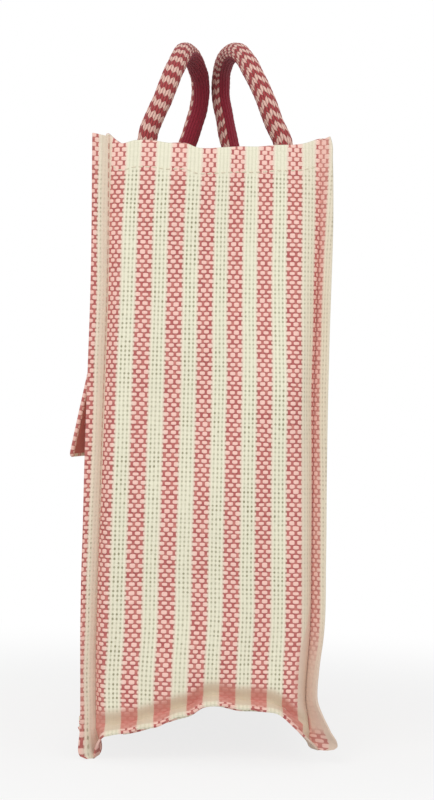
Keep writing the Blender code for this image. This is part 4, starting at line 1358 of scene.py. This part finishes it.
base = add_base()
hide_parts("base_panel")
for solid, held, name, kind, place, ends, hem_range in (
    ("front_panel", "stretched", "front_wall", "panel", panel_wall(-1), [(-1, -1), (1, -1)], (-0.82, 1.0)),
    ("right_gusset", "stretched", "open_gusset", "gusset", right_gusset, [(1, -1), (1, 1)], (-1.0, 1.0)),
    ("back_panel", "stretched", "back_wall", "panel", panel_wall(1), [(1, 1), (-1, 1)], (-1.0, 0.82)),
    ("left_gusset", "folded", "folded_gusset", "gusset", left_gusset, [(-1, 1), (-1, -1)], (-0.5, 0.5)),
):
    made = wall(name, kind, place, ends, hem_range)
    flat = (CLOTH_WIDTH[kind] + 2 * FIN, WALL_LENGTH)
    notch = CLOTH_WIDTH[kind] * (SEAM_HEIGHT - FIN)
    flat[0] * flat[1] - notch
    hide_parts(solid)

for side, word in ((-1, "front"), (1, "back")):
    solids = [f"{word}_handle_sleeve", f"{word}_handle_core"]
    solids += [f"{word}_rope_end_{end}" for end in ("left", "right")]
    add_handle(f"{word}_rope", side, solids)
    for end, x in (("left", -LEG_X), ("right", LEG_X)):
        add_patch(f"{word}_patch_{end}", side, x, f"{word}_anchor_patch_{end}")
add_pocket()
add_flap()
add_stitches("fin_stitches", fin_stitches(), BROWN_THREAD, "bag", SEAM_PITCH, SEAM_HALF)
add_stitches("hem_stitches", hem_stitches(), PALE_THREAD)
add_stitches("pocket_stitches", pocket_stitches(), PALE_THREAD)
add_stitches("patch_stitches", patch_stitches(), BROWN_THREAD, "bag", PATCH_PITCH, PATCH_HALF)


# Camera, light and floor

CAMERA_PLACE = (1.452, 0.0099, 0.2333)
CAMERA_ROLL = 1.4
CAMERA_LENS = 90.7
SENSOR_HEIGHT = 36.0
LAMP_TARGET = (0.0, 0.0, 0.2)
AMBIENT = 0.60
WHITE = (1, 1, 1, 1)
FLOOR_COLOR = (0.75, 0.75, 0.74, 1)
FLOOR_SIZE = 30.0
FLOOR_FADE = (0.20, 0.65)  # distance from the bag's middle over which the floor turns to plain white
FLOOR_LIFT = 0.80  # how much of that white shows already beside the bag


def add_camera():
    """A view square on to the open gusset, a little rolled."""
    data = bpy.data.cameras.new("camera")
    data.sensor_fit = "VERTICAL"
    data.sensor_height = SENSOR_HEIGHT
    data.lens = CAMERA_LENS
    made = add_object("camera", data)
    made.location = CAMERA_PLACE
    made.rotation_euler = (math.radians(90), -math.radians(CAMERA_ROLL), math.radians(90))
    bpy.context.scene.camera = made


def add_lamp(name, place, size, power):
    data = bpy.data.lights.new(name, "AREA")
    data.shape = "DISK"
    data.size = size
    data.energy = power
    made = add_object(name, data)
    made.location = place
    made.rotation_euler = (Vector(LAMP_TARGET) - Vector(place)).to_track_quat("-Z", "Y").to_euler()


def seen_directly(net):
    """1 for the camera's own rays and what gloss and glass show of it."""
    camera = net.node("LightPath", {}, "Is Camera Ray")
    rays = camera.socket.node.outputs
    return camera.most(Wire(net, rays["Is Glossy Ray"])).most(Wire(net, rays["Is Transmission Ray"]))


def add_world():
    world = bpy.data.worlds.new("studio")
    bpy.context.scene.world = world
    world.use_nodes = True
    net = Net(world.node_tree)
    net.tree.nodes.clear()
    light, white = (net.node("Background", {"Color": WHITE, "Strength": level}) for level in (AMBIENT, 1.0))
    mixed = net.node("MixShader", {0: seen_directly(net), 1: light, 2: white})
    net.put(net.tree.nodes.new("ShaderNodeOutputWorld").inputs["Surface"], mixed)


def add_floor():
    """A pale floor that keeps the bag's shadow and runs out into the white backdrop."""
    bpy.ops.mesh.primitive_plane_add(size=FLOOR_SIZE, location=(0, 0, 0))
    floor = bpy.context.object
    floor.name = "floor"
    material = bpy.data.materials.new("floor")
    material.use_nodes = True
    net = Net(material.node_tree)
    net.tree.nodes.clear()
    distance = net.node("VectorMath", {0: net.node("TexCoord", {}, "Object")}, "Value", operation="LENGTH")
    share = distance.fade(*FLOOR_FADE, FLOOR_LIFT) * seen_directly(net)
    matt = net.node("BsdfDiffuse", {"Color": FLOOR_COLOR})
    mixed = net.node("MixShader", {0: share, 1: matt, 2: net.node("Emission", {})})
    net.put(net.tree.nodes.new("ShaderNodeOutputMaterial").inputs["Surface"], mixed)
    floor.data.materials.append(material)


bpy.context.scene.view_settings.view_transform = "Standard"
add_camera()
add_lamp("key", (1.9, -0.9, 1.5), 1.2, 18.2)
add_lamp("fill", (1.6, 1.4, 0.9), 1.6, 7.4)
add_world()
add_floor()
